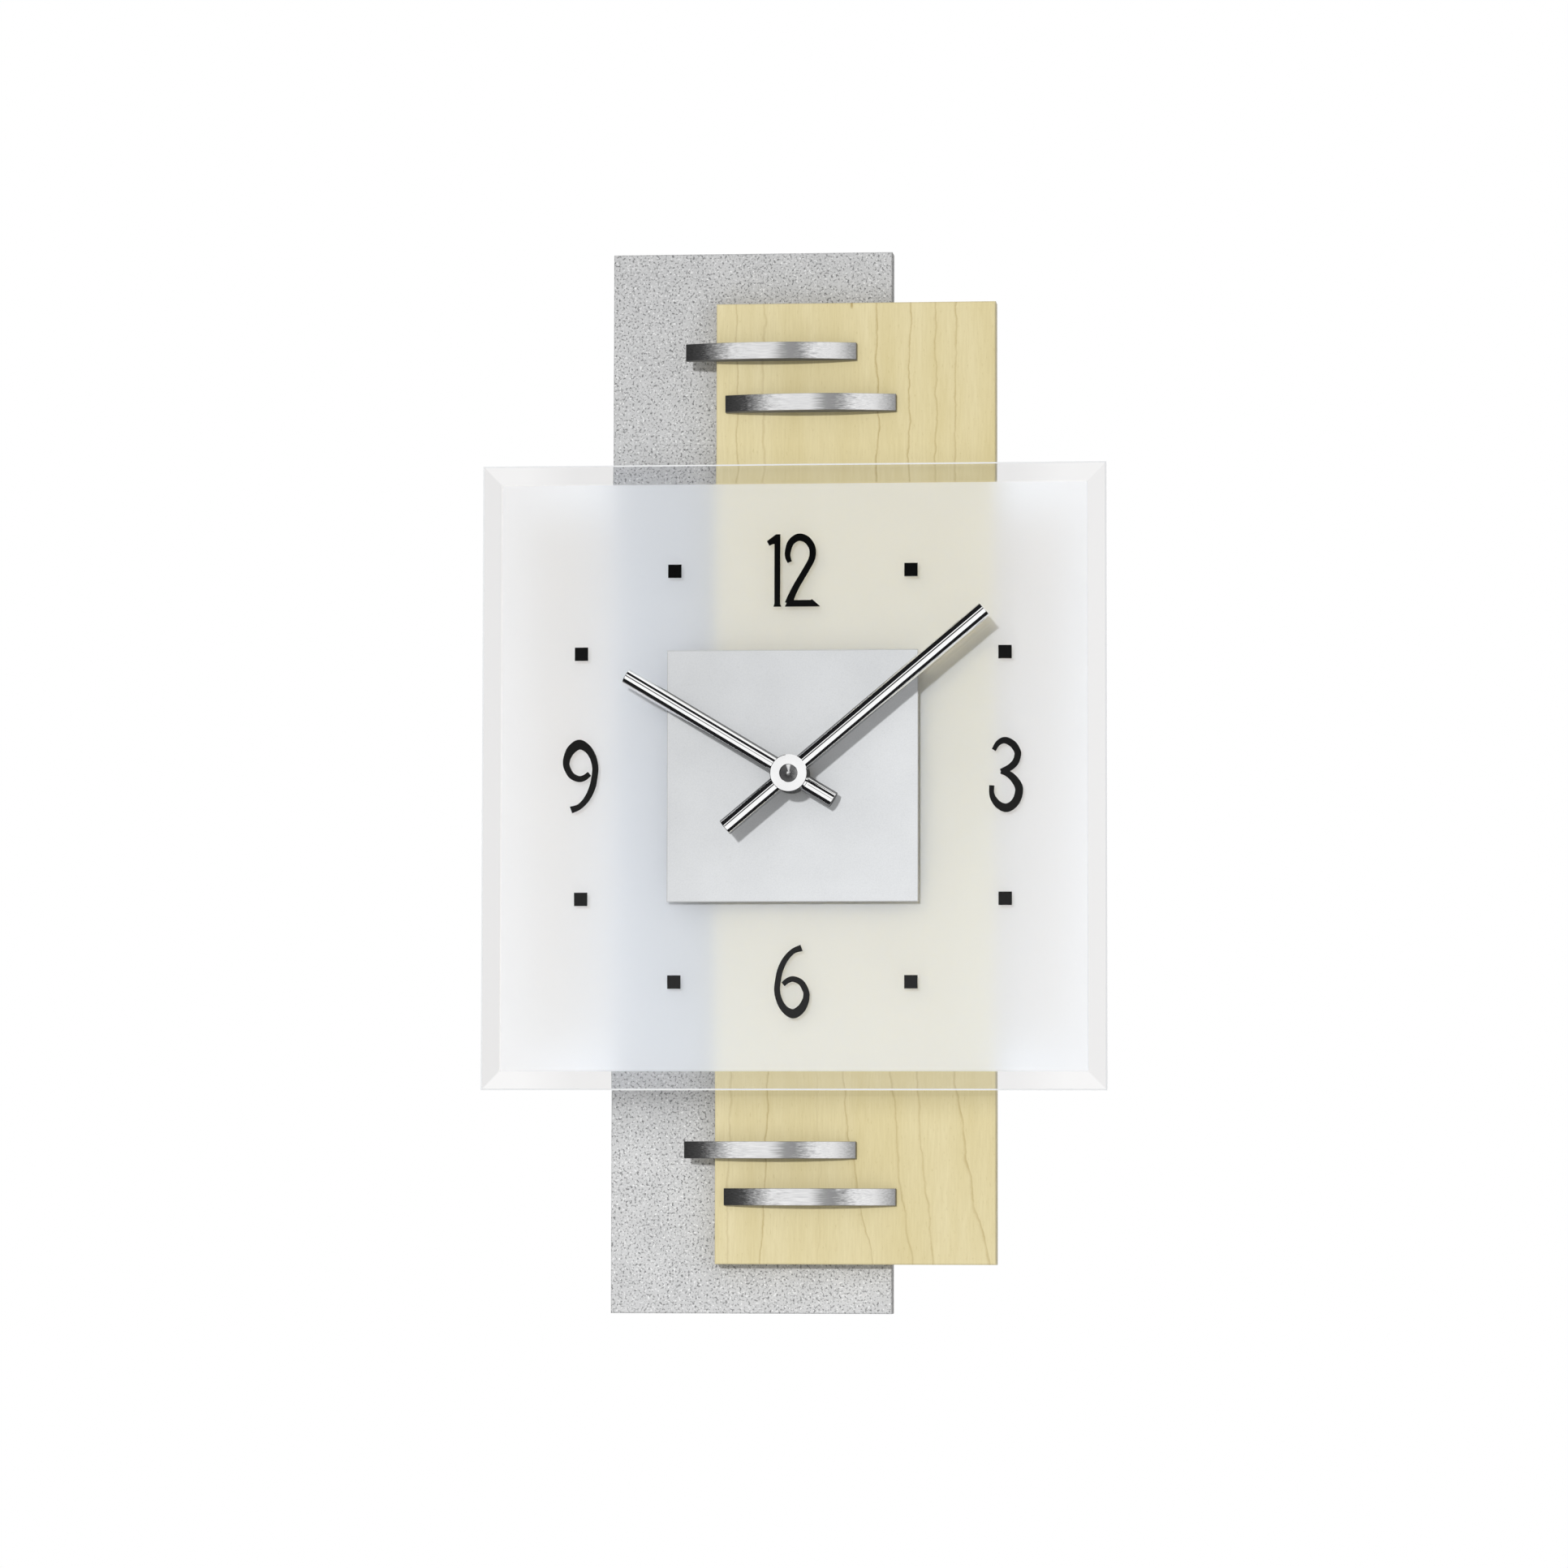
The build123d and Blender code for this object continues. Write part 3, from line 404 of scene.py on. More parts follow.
def ringCard(name, turn, tilt, finish):
    points = []
    for i in range(cardSteps + 1):
        around = math.radians(turn[0] + (turn[1] - turn[0]) * i / cardSteps)
        for j in range(cardSteps + 1):
            off = math.radians(tilt[0] + (tilt[1] - tilt[0]) * j / cardSteps)
            spot = (math.sin(off) * math.cos(around), -math.cos(off), math.sin(off) * math.sin(around))
            points.append([cardReach * value for value in spot])
    row = cardSteps + 1
    faces = [
        (i * row + j, i * row + j + 1, (i + 1) * row + j + 1, (i + 1) * row + j)
        for i in range(cardSteps)
        for j in range(cardSteps)
    ]
    mirrorOnly(stageMesh(name, points, faces, finish))


blackCard = plainEmission("blackCard", cardTone)[0]
for cardName, card in cards.items():
    ringCard(cardName, card["turn"], card["tilt"], blackCard)

frontCard = {  # a soft dark field in front of the dial, in degrees of azimuth and elevation
    "left": (-18.0, -15.0),  # it comes in over the ranges left and low, and goes out over right and high
    "right": (0.0, 2.5),
    "low": (0.0, 7.0),
    "high": (15.0, 18.0),
    "lightRight": (-3.5, -1.0),  # at its upper right it is light again
    "lightHigh": (6.5, 9.0),
    "gap": (-5.2, 3.6),  # a light spot, which the hub mirrors
    "gapFade": (0.7, 1.7),
    "black": 0.012,
}


def across(angle):  # where a direction from the dial meets the front card
    return cardReach * math.tan(math.radians(angle))


def softCard():
    card = frontCard
    finish, tree, glow = plainEmission("frontCard", (1.0, 1.0, 1.0))
    point, x, _, z = partPlace(tree)

    def fade(value, span):
        return spread(tree, value, across(span[0]), across(span[1]))

    corner = times(tree, fade(x, card["lightRight"]), fade(z, card["lightHigh"]))
    spot = (across(card["gap"][0]), -cardReach, across(card["gap"][1]))
    away = vectorCalc(tree, "DISTANCE", point, spot)["Value"]
    dark = times(tree, fade(x, card["left"]), fade(z, card["low"]))
    for light in (fade(x, card["right"]), fade(z, card["high"]), corner):
        dark = times(tree, dark, calc(tree, "SUBTRACT", 1.0, light))
    dark = times(tree, dark, fade(away, card["gapFade"]))
    tree.links.new(between(tree, dark, 1.0, card["black"]), glow.inputs["Color"])
    left, right = across(card["left"][0]), across(card["right"][1])
    low, high = across(card["low"][0]), across(card["high"][1])
    corners = [(x, -cardReach, z) for x, z in ((left, low), (right, low), (right, high), (left, high))]
    mirrorOnly(stageSheet("frontCard", corners, finish))


softCard()


def paleFloor():
    finish, tree, surface = newFinish("paleFloor")
    pale = studio["floorColour"]
    size, tone = studio["floorPatch"]
    colour = mixColour(tree, drifting(tree, size), pale, tuple(tone * c for c in pale))
    feed(tree, surface, Base_Color=colour, Roughness=studio["floorRoughness"])
    even = put(tree, "ShaderNodeEmission", {"Color": colour, "Strength": 1.0})
    seen = put(tree, "ShaderNodeLightPath").outputs["Is Camera Ray"]
    mixSurface(tree, seen, surface, even)  # the camera sees it evenly lit
    half, height = studio["floorHalf"], studio["floorHeight"]
    corners = [(-half, -half, height), (half, -half, height), (half, half, height), (-half, half, height)]
    hideFrom(stageSheet("paleFloor", corners, finish), "glossy")


def paleWall():  # what shows through the glass; nothing else meets it
    finish, tree, glow = plainEmission("paleWall", studio["wallFar"])
    _, x, _, z = partPlace(tree)
    away = spread(tree, squareReach(tree, x, z), *studio["wallFade"])
    tree.links.new(mixColour(tree, away, studio["wallNear"], studio["wallFar"]), glow.inputs["Color"])
    x, z = studio["wallHalf"]
    y = studio["wallPlace"]
    wall = stageSheet("paleWall", [(-x, y, -z), (x, y, -z), (x, y, z), (-x, y, z)], finish)
    hideFrom(wall, "camera", "diffuse", "glossy", "volume_scatter", "shadow")


paleFloor()
paleWall()
print("wall clock: studio set")


# Finishes of the boards

skin = 0.4 * mm  # what lies this close to a board's face belongs to the face
sideTurn = (0.3, 0.7)  # y part of the normal where a side gives way to a front or back face
glassCurve, stepCurve = 1.4, 2.0  # how fast the shade of the glass and of the maple board fades


def glassShade(tree, board, under, over):  # tone and reach of the shade just below and just above the glass
    _, _, y, z = partPlace(tree)
    low, high = (corner.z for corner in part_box("glass_dial"))
    inFront = calc(tree, "LESS_THAN", y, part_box(board)[0].y + skin)
    below = times(tree, spread(tree, z, low - under[1], low), calc(tree, "LESS_THAN", z, low))
    below = times(tree, calc(tree, "POWER", below, glassCurve), inFront)
    above = spread(tree, z, high, high + over[1], 1.0, 0.0)
    above = times(tree, above, calc(tree, "GREATER_THAN", z, high), inFront)
    return times(tree, between(tree, below, 1.0, under[0]), between(tree, above, 1.0, over[0]))


def stepShade(tree, tone, reach):  # the maple board takes light off what lies beside it
    _, x, _, z = partPlace(tree)
    low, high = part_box("maple_board")
    aside = calc(tree, "MAXIMUM", calc(tree, "SUBTRACT", low.x, x), 0.0)
    over = calc(tree, "MAXIMUM", calc(tree, "SUBTRACT", z, high.z), calc(tree, "SUBTRACT", low.z, z))
    offset = put(tree, "ShaderNodeCombineXYZ", {0: aside, 1: calc(tree, "MAXIMUM", over, 0.0)}).outputs[0]
    away = vectorCalc(tree, "LENGTH", offset)["Value"]
    step = calc(tree, "POWER", spread(tree, away, 0.0, reach, 1.0, 0.0), stepCurve)
    return between(tree, step, 1.0, tone)


silverLook = {
    "light": (0.665, 0.667, 0.671),
    "grey": (0.605, 0.608, 0.613),
    "patch": 0.012,
    "fleck": (0.20, 0.202, 0.205),
    "fleckSize": 0.0009,
    "fleckLevel": 0.42,  # of the grain, under which flecks begin
    "spark": (0.98, 0.982, 0.985),
    "sparkSize": 0.0010,
    "sparkLevel": 0.7,
    "sparkShare": 0.8,
    "softness": 0.16,
    "roughness": (0.48, 0.65),  # of the paint and of the flecks
    "bump": (0.25, 0.00006),  # strength and depth
    "edgeShade": 0.55,  # painted shade: the sides of the board are darker
    "dialShade": (0.83, 0.92),  # the dial takes some light off what lies behind it, low and high
    "dialFade": (0.119, 0.127),
    "step": (0.80, 0.013),  # tone and reach of the maple board's shade
    "topShade": 0.89,  # tone of the top of the board, against the bottom
    "underGlass": (0.66, 0.0215),  # tone and reach of the glass's shade
    "overGlass": (0.88, 0.011),
    "raw": (0.36, 0.25, 0.15),  # bare fibreboard at the back
    "rawDark": (0.22, 0.145, 0.085),
    "fibreLines": (500.0, 500.0, 1400.0),
}


def silverLacquer():
    look = silverLook
    finish, tree, surface = newFinish("silverLacquer")
    _, _, y, z = partPlace(tree)
    low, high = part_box("silver_board")
    grain = flakes(tree, look["fleckSize"], look["softness"])
    bright = flakes(tree, look["sparkSize"], look["softness"])
    fleck = spread(tree, grain, 0.0, look["fleckLevel"], 1.0, 0.0)
    spark = spread(tree, bright, look["sparkLevel"], 1.0, 0.0, look["sparkShare"])
    paint = mixColour(tree, drifting(tree, look["patch"]), look["light"], look["grey"])
    paint = mixColour(tree, spark, paint, look["spark"])
    paint = mixColour(tree, fleck, paint, look["fleck"])
    covered = spread(tree, z, -look["dialFade"][0], look["dialFade"][0], *look["dialShade"])
    shade = times(
        tree,
        spread(tree, z, low.z, high.z, 1.0, look["topShade"]),
        spread(tree, calc(tree, "ABSOLUTE", z), *look["dialFade"], covered, 1.0),
        glassShade(tree, "silver_board", look["underGlass"], look["overGlass"]),
        stepShade(tree, *look["step"]),
        # painted shade on the sides of the board
        spread(tree, calc(tree, "ABSOLUTE", facingY(tree)), *sideTurn, look["edgeShade"], 1.0),
    )
    paint = mixColour(tree, 1.0, paint, shade, "MULTIPLY")
    raw = mixColour(tree, brushed(tree, look["fibreLines"]), look["rawDark"], look["raw"])
    back = calc(tree, "GREATER_THAN", y, high.y - skin)
    feed(
        tree, surface,
        Base_Color=mixColour(tree, back, paint, raw),
        Roughness=between(tree, fleck, *look["roughness"]),
    )
    bump(tree, surface, grain, *look["bump"])
    return finish


mapleLook = {
    "base": (0.715, 0.620, 0.345),
    "pale": (0.80, 0.715, 0.45),
    "line": (0.40, 0.285, 0.10),
    "fleck": (0.55, 0.45, 0.21),
    "broadLines": (70.0, 20.0, 9.0),  # bands from base to pale
    "poreLines": (1300.0, 300.0, 90.0),
    "poreShare": 0.28,
    "fleckLines": (1300.0, 300.0, 330.0),
    "fleckLevel": 0.72,
    "fleckShare": 0.45,
    "breakLines": (60.0, 20.0, 160.0),  # where growth lines are fainter
    "breakLevel": 0.5,
    "upperLines": [  # growth lines above the dial: place in mm from the dial's axis, and strength
        (-22.8, 0.70), (-12.5, 0.70), (31.5, 0.90), (44.2, 0.70), (53.9, 0.50), (61.4, 0.75),
    ],
    "lowerLines": [  # below the dial: place at the glass, shift down to the lower edge, and strength
        (-24.8, -1.6, 0.65), (-9.8, -3.8, 0.75), (8.0, 2.0, 0.20), (19.0, 11.3, 0.75), (37.2, 8.0, 0.80),
        (46.9, 6.4, 0.80), (61.8, 12.9, 0.90),
    ],
    "fade": 0.04,  # behind the dial one set gives way to the other
    "leanFrom": -0.116,  # the lines below the dial lean from this height
    "leanCurve": 0.45,
    "shiftRange": 20.0,  # mm, so that a shift fits a ramp's 0 to 1
    "sharpSide": 0.3,  # mm
    "softSide": 0.8,
    "softTone": 0.35,
    "wander": 0.0013,
    "wanderLines": (60.0, 0.0, 70.0),
    "wanderRange": (0.25, 0.75),
    "dash": (21.5, 2.7),  # a short dark pore at the top edge: place and length in mm
    "dashFade": (0.2, 0.7),
    "dashShare": 0.8,
    "roughness": (0.46, 0.56),
    "gloss": 0.35,
    "bump": (0.12, 0.00005),
    "underGlass": (0.76, 0.0125),
    "overGlass": (0.94, 0.009),
}


def lineStart(tree, x, z, low, high):  # where the line at a point started, before it leaned
    look, width, reach = mapleLook, high.x - low.x, mapleLook["shiftRange"]
    down = spread(tree, z, look["leanFrom"], low.z)
    down = times(tree, down, calc(tree, "MULTIPLY_ADD", down, look["leanCurve"], 1.0 - look["leanCurve"]))
    shifts = [
        ((place * mm - low.x) / width, 0.5 + shift / reach / 2) for place, shift, _ in look["lowerLines"]
    ]
    start = x
    for _ in range(2):  # the shift belongs to where the line starts, so it is looked up twice
        level = ramp(tree, spread(tree, start, low.x, high.x), shifts)
        shift = between(tree, level, -reach * mm, reach * mm)
        start = calc(tree, "SUBTRACT", x, times(tree, shift, down))
    return start


def growthLines(tree, share, lines, low, width):  # each line is sharp on its right and soft on its left
    soft, sharp = mapleLook["softSide"] * mm / width, mapleLook["sharpSide"] * mm / width
    stops = [(0.0, 0.0)]
    for place, strength in lines:
        centre = (place * mm - low.x) / width
        stops += [(centre - soft, 0.0), (centre - sharp, mapleLook["softTone"] * strength)]
        stops += [(centre, strength), (centre + sharp, 0.0)]
    return ramp(tree, share, stops)


def mapleVeneer():
    look = mapleLook
    finish, tree, surface = newFinish("mapleVeneer")
    point, x, _, z = partPlace(tree)
    low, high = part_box("maple_board")
    stretched = vectorCalc(tree, "MULTIPLY", point, look["wanderLines"])["Vector"]
    wander = noise(tree, stretched, 1.0, detail=6.0)
    wander = spread(tree, wander, *look["wanderRange"], -look["wander"], look["wander"])
    share = spread(tree, calc(tree, "ADD", lineStart(tree, x, z, low, high), wander), low.x, high.x)
    lowerLines = [(place, strength) for place, _, strength in look["lowerLines"]]
    upper, lower = (
        growthLines(tree, share, lines, low, high.x - low.x) for lines in (look["upperLines"], lowerLines)
    )
    growth = mixColour(tree, spread(tree, z, -look["fade"], look["fade"]), lower, upper)
    growth = times(tree, growth, between(tree, brushed(tree, look["breakLines"]), look["breakLevel"], 1.0))
    pores = brushed(tree, look["poreLines"])
    flecks = spread(tree, brushed(tree, look["fleckLines"]), look["fleckLevel"], 1.0)
    beside = calc(tree, "ABSOLUTE", calc(tree, "SUBTRACT", x, look["dash"][0] * mm))
    beside = spread(tree, beside, *(mm * end for end in look["dashFade"]), look["dashShare"], 0.0)
    length = look["dash"][1] * mm
    dash = times(tree, beside, spread(tree, z, high.z - length, high.z - 0.5 * length))
    wood = mixColour(tree, brushed(tree, look["broadLines"]), look["base"], look["pale"])
    wood = mixColour(tree, times(tree, pores, look["poreShare"]), wood, look["fleck"])
    wood = mixColour(tree, times(tree, flecks, look["fleckShare"]), wood, look["fleck"])
    wood = mixColour(tree, growth, wood, look["line"])
    wood = mixColour(tree, dash, wood, look["line"])
    shade = glassShade(tree, "maple_board", look["underGlass"], look["overGlass"])
    feed(
        tree, surface,
        Base_Color=mixColour(tree, 1.0, wood, shade, "MULTIPLY"),
        Roughness=between(tree, pores, *look["roughness"]),
        Specular_IOR_Level=look["gloss"],
    )
    bump(tree, surface, calc(tree, "SUBTRACT", 1.0, pores), *look["bump"])
    return finish


# Finishes of the dial

def etchedHalf():  # half side of the etched field, which ends at the bevel
    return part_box("glass_dial")[1].x - paneShape["bevel"]


def passLamps(tree, surface, share):  # lets this share of a lamp's light on through
    clear = put(tree, "ShaderNodeBsdfTransparent")
    shadow = put(tree, "ShaderNodeLightPath").outputs["Is Shadow Ray"]
    mixSurface(tree, times(tree, shadow, share), surface, clear)


glassLook = {
    "tint": (0.995, 0.996, 0.997),
    # darker through the bevel: the glass's own loss, and painted shade of the glass on what lies behind
    "bevelTintAndShade": (0.85, 0.857, 0.877),
    "cornerTint": (0.935, 0.943, 0.965),  # the strips along the top and bottom, towards the corners
    "cornerFade": (0.084, 0.104),
    "etch": 1.0,
    "etchDepth": 0.2 * mm,  # from the back face, and less than the glass is thick
    "ior": 1.5,
    "lampTint": (0.985, 0.985, 0.985),
}


def dialGlass():
    look = glassLook
    finish, tree, surface = newFinish("dialGlass")
    _, x, y, z = partPlace(tree)
    out, up = calc(tree, "ABSOLUTE", x), calc(tree, "ABSOLUTE", z)
    inside = calc(tree, "LESS_THAN", calc(tree, "MAXIMUM", out, up), etchedHalf())
    corner = times(tree, calc(tree, "GREATER_THAN", up, out), spread(tree, out, *look["cornerFade"]))
    # the bevel's tint carries painted shade of the glass on what lies behind
    bevel = mixColour(tree, corner, look["bevelTintAndShade"], look["cornerTint"])
    behind = calc(tree, "GREATER_THAN", y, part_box("glass_dial")[1].y - look["etchDepth"])
    feed(
        tree, surface,
        Base_Color=mixColour(tree, inside, bevel, look["tint"]),
        Roughness=times(tree, inside, behind, look["etch"]),
        IOR=look["ior"],
        Transmission_Weight=1.0,
    )
    clear = put(tree, "ShaderNodeBsdfTransparent", {"Color": rgba(look["lampTint"])})
    rays = put(tree, "ShaderNodeLightPath").outputs
    mixSurface(tree, calc(tree, "MAXIMUM", rays["Is Shadow Ray"], rays["Is Diffuse Ray"]), surface, clear)
    return finish


groundLook = {
    "pale": (0.93, 0.94, 0.95),
    "shade": (0.86, 0.875, 0.885),
    "grain": (0.0004, 0.25),  # size and softness
    "roughness": (0.45, 0.6),
    "lampShare": 0.9,
}


def groundEdge():  # the arrises of the glass and the wall of its hole
    look = groundLook
    finish, tree, surface = newFinish("groundEdge")
    fine = flakes(tree, *look["grain"])
    feed(
        tree, surface,
        Base_Color=mixColour(tree, fine, look["pale"], look["shade"]),
        Roughness=between(tree, fine, *look["roughness"]),
    )
    passLamps(tree, surface, look["lampShare"])
    return finish


frostLook = {
    "white": (0.88, 0.92, 0.98),
    "cool": (0.86, 0.91, 0.98),
    "patch": 0.06,
    "patchPart": 0.8,  # of the change from white to cool; the rest is grain
    "grain": (0.0004, 0.3),
    "sideTone": (0.94, 0.905, 0.87),  # beside the boards, where only the wall lies behind
    "sideFade": (0.076, 0.108),
    "rightShare": 0.5,
    "rightFade": (-0.05, 0.05),
    "coverTop": 0.30,  # of each of its two faces
    "coverBottom": 0.38,
    "roughness": 0.9,
    "lampShare": 0.9,  # of a lamp's light that goes on to the boards
    "inset": 0.1 * mm,  # from the bevel
    "underPlate": 0.1 * mm,  # the plate hides the middle, where the glass is bonded
    "lift": 0.02 * mm,  # off the back of the glass
    "thickness": 0.05 * mm,
}


def etchedFrost():
    look = frostLook
    finish, tree, surface = newFinish("etchedFrost")
    _, x, _, z = partPlace(tree)
    tone = blended(tree, drifting(tree, look["patch"]), flakes(tree, *look["grain"]), look["patchPart"])
    colour = mixColour(tree, tone, look["white"], look["cool"])
    beside = spread(tree, calc(tree, "ABSOLUTE", x), *look["sideFade"])
    beside = times(tree, beside, spread(tree, x, *look["rightFade"], 1.0, look["rightShare"]))
    half = etchedHalf() - look["inset"]
    feed(
        tree, surface,
        Base_Color=mixColour(tree, beside, colour, look["sideTone"], "MULTIPLY"),
        Roughness=look["roughness"],
        Alpha=spread(tree, z, -half, half, look["coverBottom"], look["coverTop"]),
        Specular_IOR_Level=0.0,
    )
    passLamps(tree, surface, look["lampShare"])
    return finish


plateLook = {
    "dark": (0.68, 0.695, 0.71),
    "light": (0.80, 0.815, 0.83),
    "grain": (0.0006, 0.22),
    "grainPart": 0.45,  # of the change from dark to light; the rest is patches
    "patch": 0.03,
    "speck": (0.55, 0.56, 0.57),
    "speckSize": 0.0016,
    "speckWidth": 0.02,
    "speckShare": 0.2,
    "edge": (0.50, 0.505, 0.51),
    "edgeWidth": 0.0003,
    "paintedShadeSlope": (0.070, 0.86),  # painted shade, darker at the upper left and lighter to the lower right: half the span in metres, and tone at the upper left
    "paintedReflectionTone": (0.26, 0.26, 0.26),  # painted reflection: the plate shows this much darker in a rod beside it, which meets it at a low angle
    "roughness": (0.5, 0.4),
    "bump": (0.15, 0.00004),
}


def satinPlate():
    look = plateLook
    finish, tree, surface = newFinish("satinPlate")
    _, x, _, z = partPlace(tree)
    grain = flakes(tree, *look["grain"])
    speck = effect(tree, "squiggles", Size=look["speckSize"], Width=look["speckWidth"])["Squiggle"]
    tone = blended(tree, grain, drifting(tree, look["patch"]), look["grainPart"])
    colour = mixColour(tree, tone, look["dark"], look["light"])
    colour = mixColour(tree, times(tree, speck, look["speckShare"]), colour, look["speck"])
    reach, upperTone = look["paintedShadeSlope"]
    # painted shade: darker towards the upper left
    paintedShadeSlope = spread(tree, calc(tree, "SUBTRACT", x, z), -reach, reach, upperTone, 1.0)
    colour = mixColour(tree, 1.0, colour, paintedShadeSlope, "MULTIPLY")
    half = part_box("dial_plate")[1].x
    # a thin darker band along the plate's outline
    cut = calc(tree, "GREATER_THAN", squareReach(tree, x, z), half - look["edgeWidth"])
    colour = mixColour(tree, cut, colour, look["edge"])
    # painted reflection: the plate is darker wherever it is mirrored
    mirrored = put(tree, "ShaderNodeLightPath").outputs["Is Glossy Ray"]
    feed(
        tree, surface,
        Base_Color=mixColour(tree, mirrored, colour, look["paintedReflectionTone"], "MULTIPLY"),
        Roughness=between(tree, grain, *look["roughness"]),
    )
    bump(tree, surface, grain, *look["bump"])
    return finish


inkLook = {
    "black": (0.0025, 0.0025, 0.0025),
    "worn": (0.005, 0.005, 0.005),
    "grain": (0.0003, 0.25),
    "roughness": (0.04, 0.07),
    "gloss": 0.32,
    "lampShare": 0.65,
}


def printedInk():
    look = inkLook
    finish, tree, surface = newFinish("printedInk")
    fine = flakes(tree, *look["grain"])
    feed(
        tree, surface,
        Base_Color=mixColour(tree, fine, look["black"], look["worn"]),
        Roughness=between(tree, fine, *look["roughness"]),
        Specular_IOR_Level=look["gloss"],
    )
    passLamps(tree, surface, look["lampShare"])
    return finish


# Finishes of the metal

barLook = {
    "bright": (1.0, 1.0, 1.0),
    "dull": (0.74, 0.74, 0.75),
    "bands": [  # painted reflection: light and dark bands along the bar, from its left end
        (0.0, 0.06), (0.11, 0.10), (0.18, 0.36), (0.28, 0.92), (0.35, 1.0), (0.51, 1.0), (0.59, 0.38),
        (0.655, 0.33), (0.775, 0.97), (0.88, 1.0), (1.0, 0.38),
    ],
    "wave": 0.05,  # share of the length by which the brush lines shift the bands
    "sawnShaded": (0.20, 0.20, 0.20),  # painted shade on the sides and ends, which are also cut and not brushed
    "sawnTurn": (-0.75, -0.35),
    "sawnRoughness": 0.2,  # on top of the brushed face's
    "lines": (80.0, 3000.0, 3000.0),
    "roughness": (0.41, 0.31),
    "metallic": 0.42,  # the brushing scatters light, so it mirrors less than half as much as polished metal
    "across": 0.9,  # how much wider the gloss spreads across the brush lines
    "bump": (0.12, 0.00003),
}


def brushedBar():
    look = barLook
    finish, tree, surface = newFinish("brushedBar")
    brush = brushed(tree, look["lines"])
    # painted shade: the sides and ends are darkened, and made rougher
    sawnShaded = spread(tree, facingY(tree), *look["sawnTurn"])
    along = put(tree, "ShaderNodeTexCoord").outputs["Generated"]
    along = put(tree, "ShaderNodeSeparateXYZ", {0: along}).outputs[0]
    wavy = calc(tree, "ADD", along, between(tree, brush, -look["wave"], look["wave"]))
    metal = mixColour(tree, brush, look["dull"], look["bright"])
    # painted reflection: the bands lighten and darken the metal along the bar
    metal = mixColour(tree, 1.0, metal, ramp(tree, wavy, look["bands"]), "MULTIPLY")
    rough = between(tree, brush, *look["roughness"])
    feed(
        tree, surface,
        Base_Color=mixColour(tree, sawnShaded, metal, look["sawnShaded"]),
        Metallic=look["metallic"],
        Roughness=calc(tree, "ADD", rough, times(tree, sawnShaded, look["sawnRoughness"])),
        Anisotropic=look["across"],
        Tangent=put(tree, "ShaderNodeCombineXYZ", {2: 1.0}).outputs[0],  # upright
    )
    bump(tree, surface, brush, *look["bump"])
    return finish


handLook = {
    "metal": (0.97, 0.972, 0.975),
    "worn": 0.97,  # tone of the patches
    "patch": 0.01,
    "roughness": (0.03, 0.05),
    "hubRoughness": 0.02,  # on top of it, on the turned face of the hub
    "faceTurn": -0.98,
    "facePast": 0.1 * mm,
    "ringPitch": 0.00005,
    "bump": (0.006, 0.00001),
}


def polishedHand():
    look = handLook
    finish, tree, surface = newFinish("polishedHand")
    turned = effect(tree, "turned", Pitch=look["ringPitch"])
    drift = drifting(tree, look["patch"])
    flat = calc(tree, "LESS_THAN", facingY(tree), look["faceTurn"])
    face = times(tree, flat, calc(tree, "LESS_THAN", turned["Radius"], handShape["hub"] + look["facePast"]))
    rough = between(tree, drift, *look["roughness"])
    feed(
        tree, surface,
        Base_Color=mixColour(tree, drift, look["metal"], tuple(look["worn"] * c for c in look["metal"])),
        Metallic=1.0,
        Roughness=calc(tree, "ADD", rough, times(tree, face, look["hubRoughness"])),
    )
    bump(tree, surface, times(tree, turned["Rings"], face), *look["bump"])
    return finish


nutLook = {
    "bright": (0.95, 0.955, 0.96),
    "dull": (0.07, 0.07, 0.072),
    "paintedWedges": [  # painted reflection of how the turning takes the light, from the left round by the bottom, right and top
        (0.0, 0.0), (0.15, 0.06), (0.36, 0.20), (0.44, 0.50), (0.55, 0.55), (0.60, 0.15), (0.70, 0.10),
        (0.73, 1.0), (0.78, 1.0), (0.81, 0.05), (1.0, 0.0),
    ],
    "middle": (0.0005, 0.0010),  # painted highlight: bright as far as the first radius, and not past the second
    "ringPitch": 0.00004,
    "ringTone": (0.8, 1.0),
    "patch": 0.002,
    "roughness": (0.21, 0.29),
    "across": 0.85,
    "acrossTurn": 0.25,  # a quarter turn, so that the gloss spreads across the rings
}


def turnedNut():  # turned metal, whose rings spread the gloss in wedges; the wedges and the bright middle are also painted into its colour as painted reflection and painted highlight
    look = nutLook
    finish, tree, surface = newFinish("turnedNut")
    turned = effect(tree, "turned", Pitch=look["ringPitch"])
    _, x, _, z = partPlace(tree)
    angle = spread(tree, calc(tree, "ARCTAN2", z, x), -math.pi, math.pi)
    # painted highlight in the middle, and painted reflection wedges round it
    middle = spread(tree, turned["Radius"], *look["middle"], 1.0, 0.0)
    paintedWedge = calc(tree, "MAXIMUM", ramp(tree, angle, look["paintedWedges"]), middle)
    paintedWedge = times(tree, paintedWedge, between(tree, turned["Rings"], *look["ringTone"]))
    feed(
        tree, surface,
        Base_Color=mixColour(tree, paintedWedge, look["dull"], look["bright"]),
        Metallic=1.0,
        Roughness=between(tree, drifting(tree, look["patch"]), *look["roughness"]),
        Anisotropic=look["across"],
        Anisotropic_Rotation=look["acrossTurn"],
        Tangent=put(tree, "ShaderNodeTangent", direction_type="RADIAL", axis="Y").outputs[0],
    )
    return finish


# Finishes of the small parts

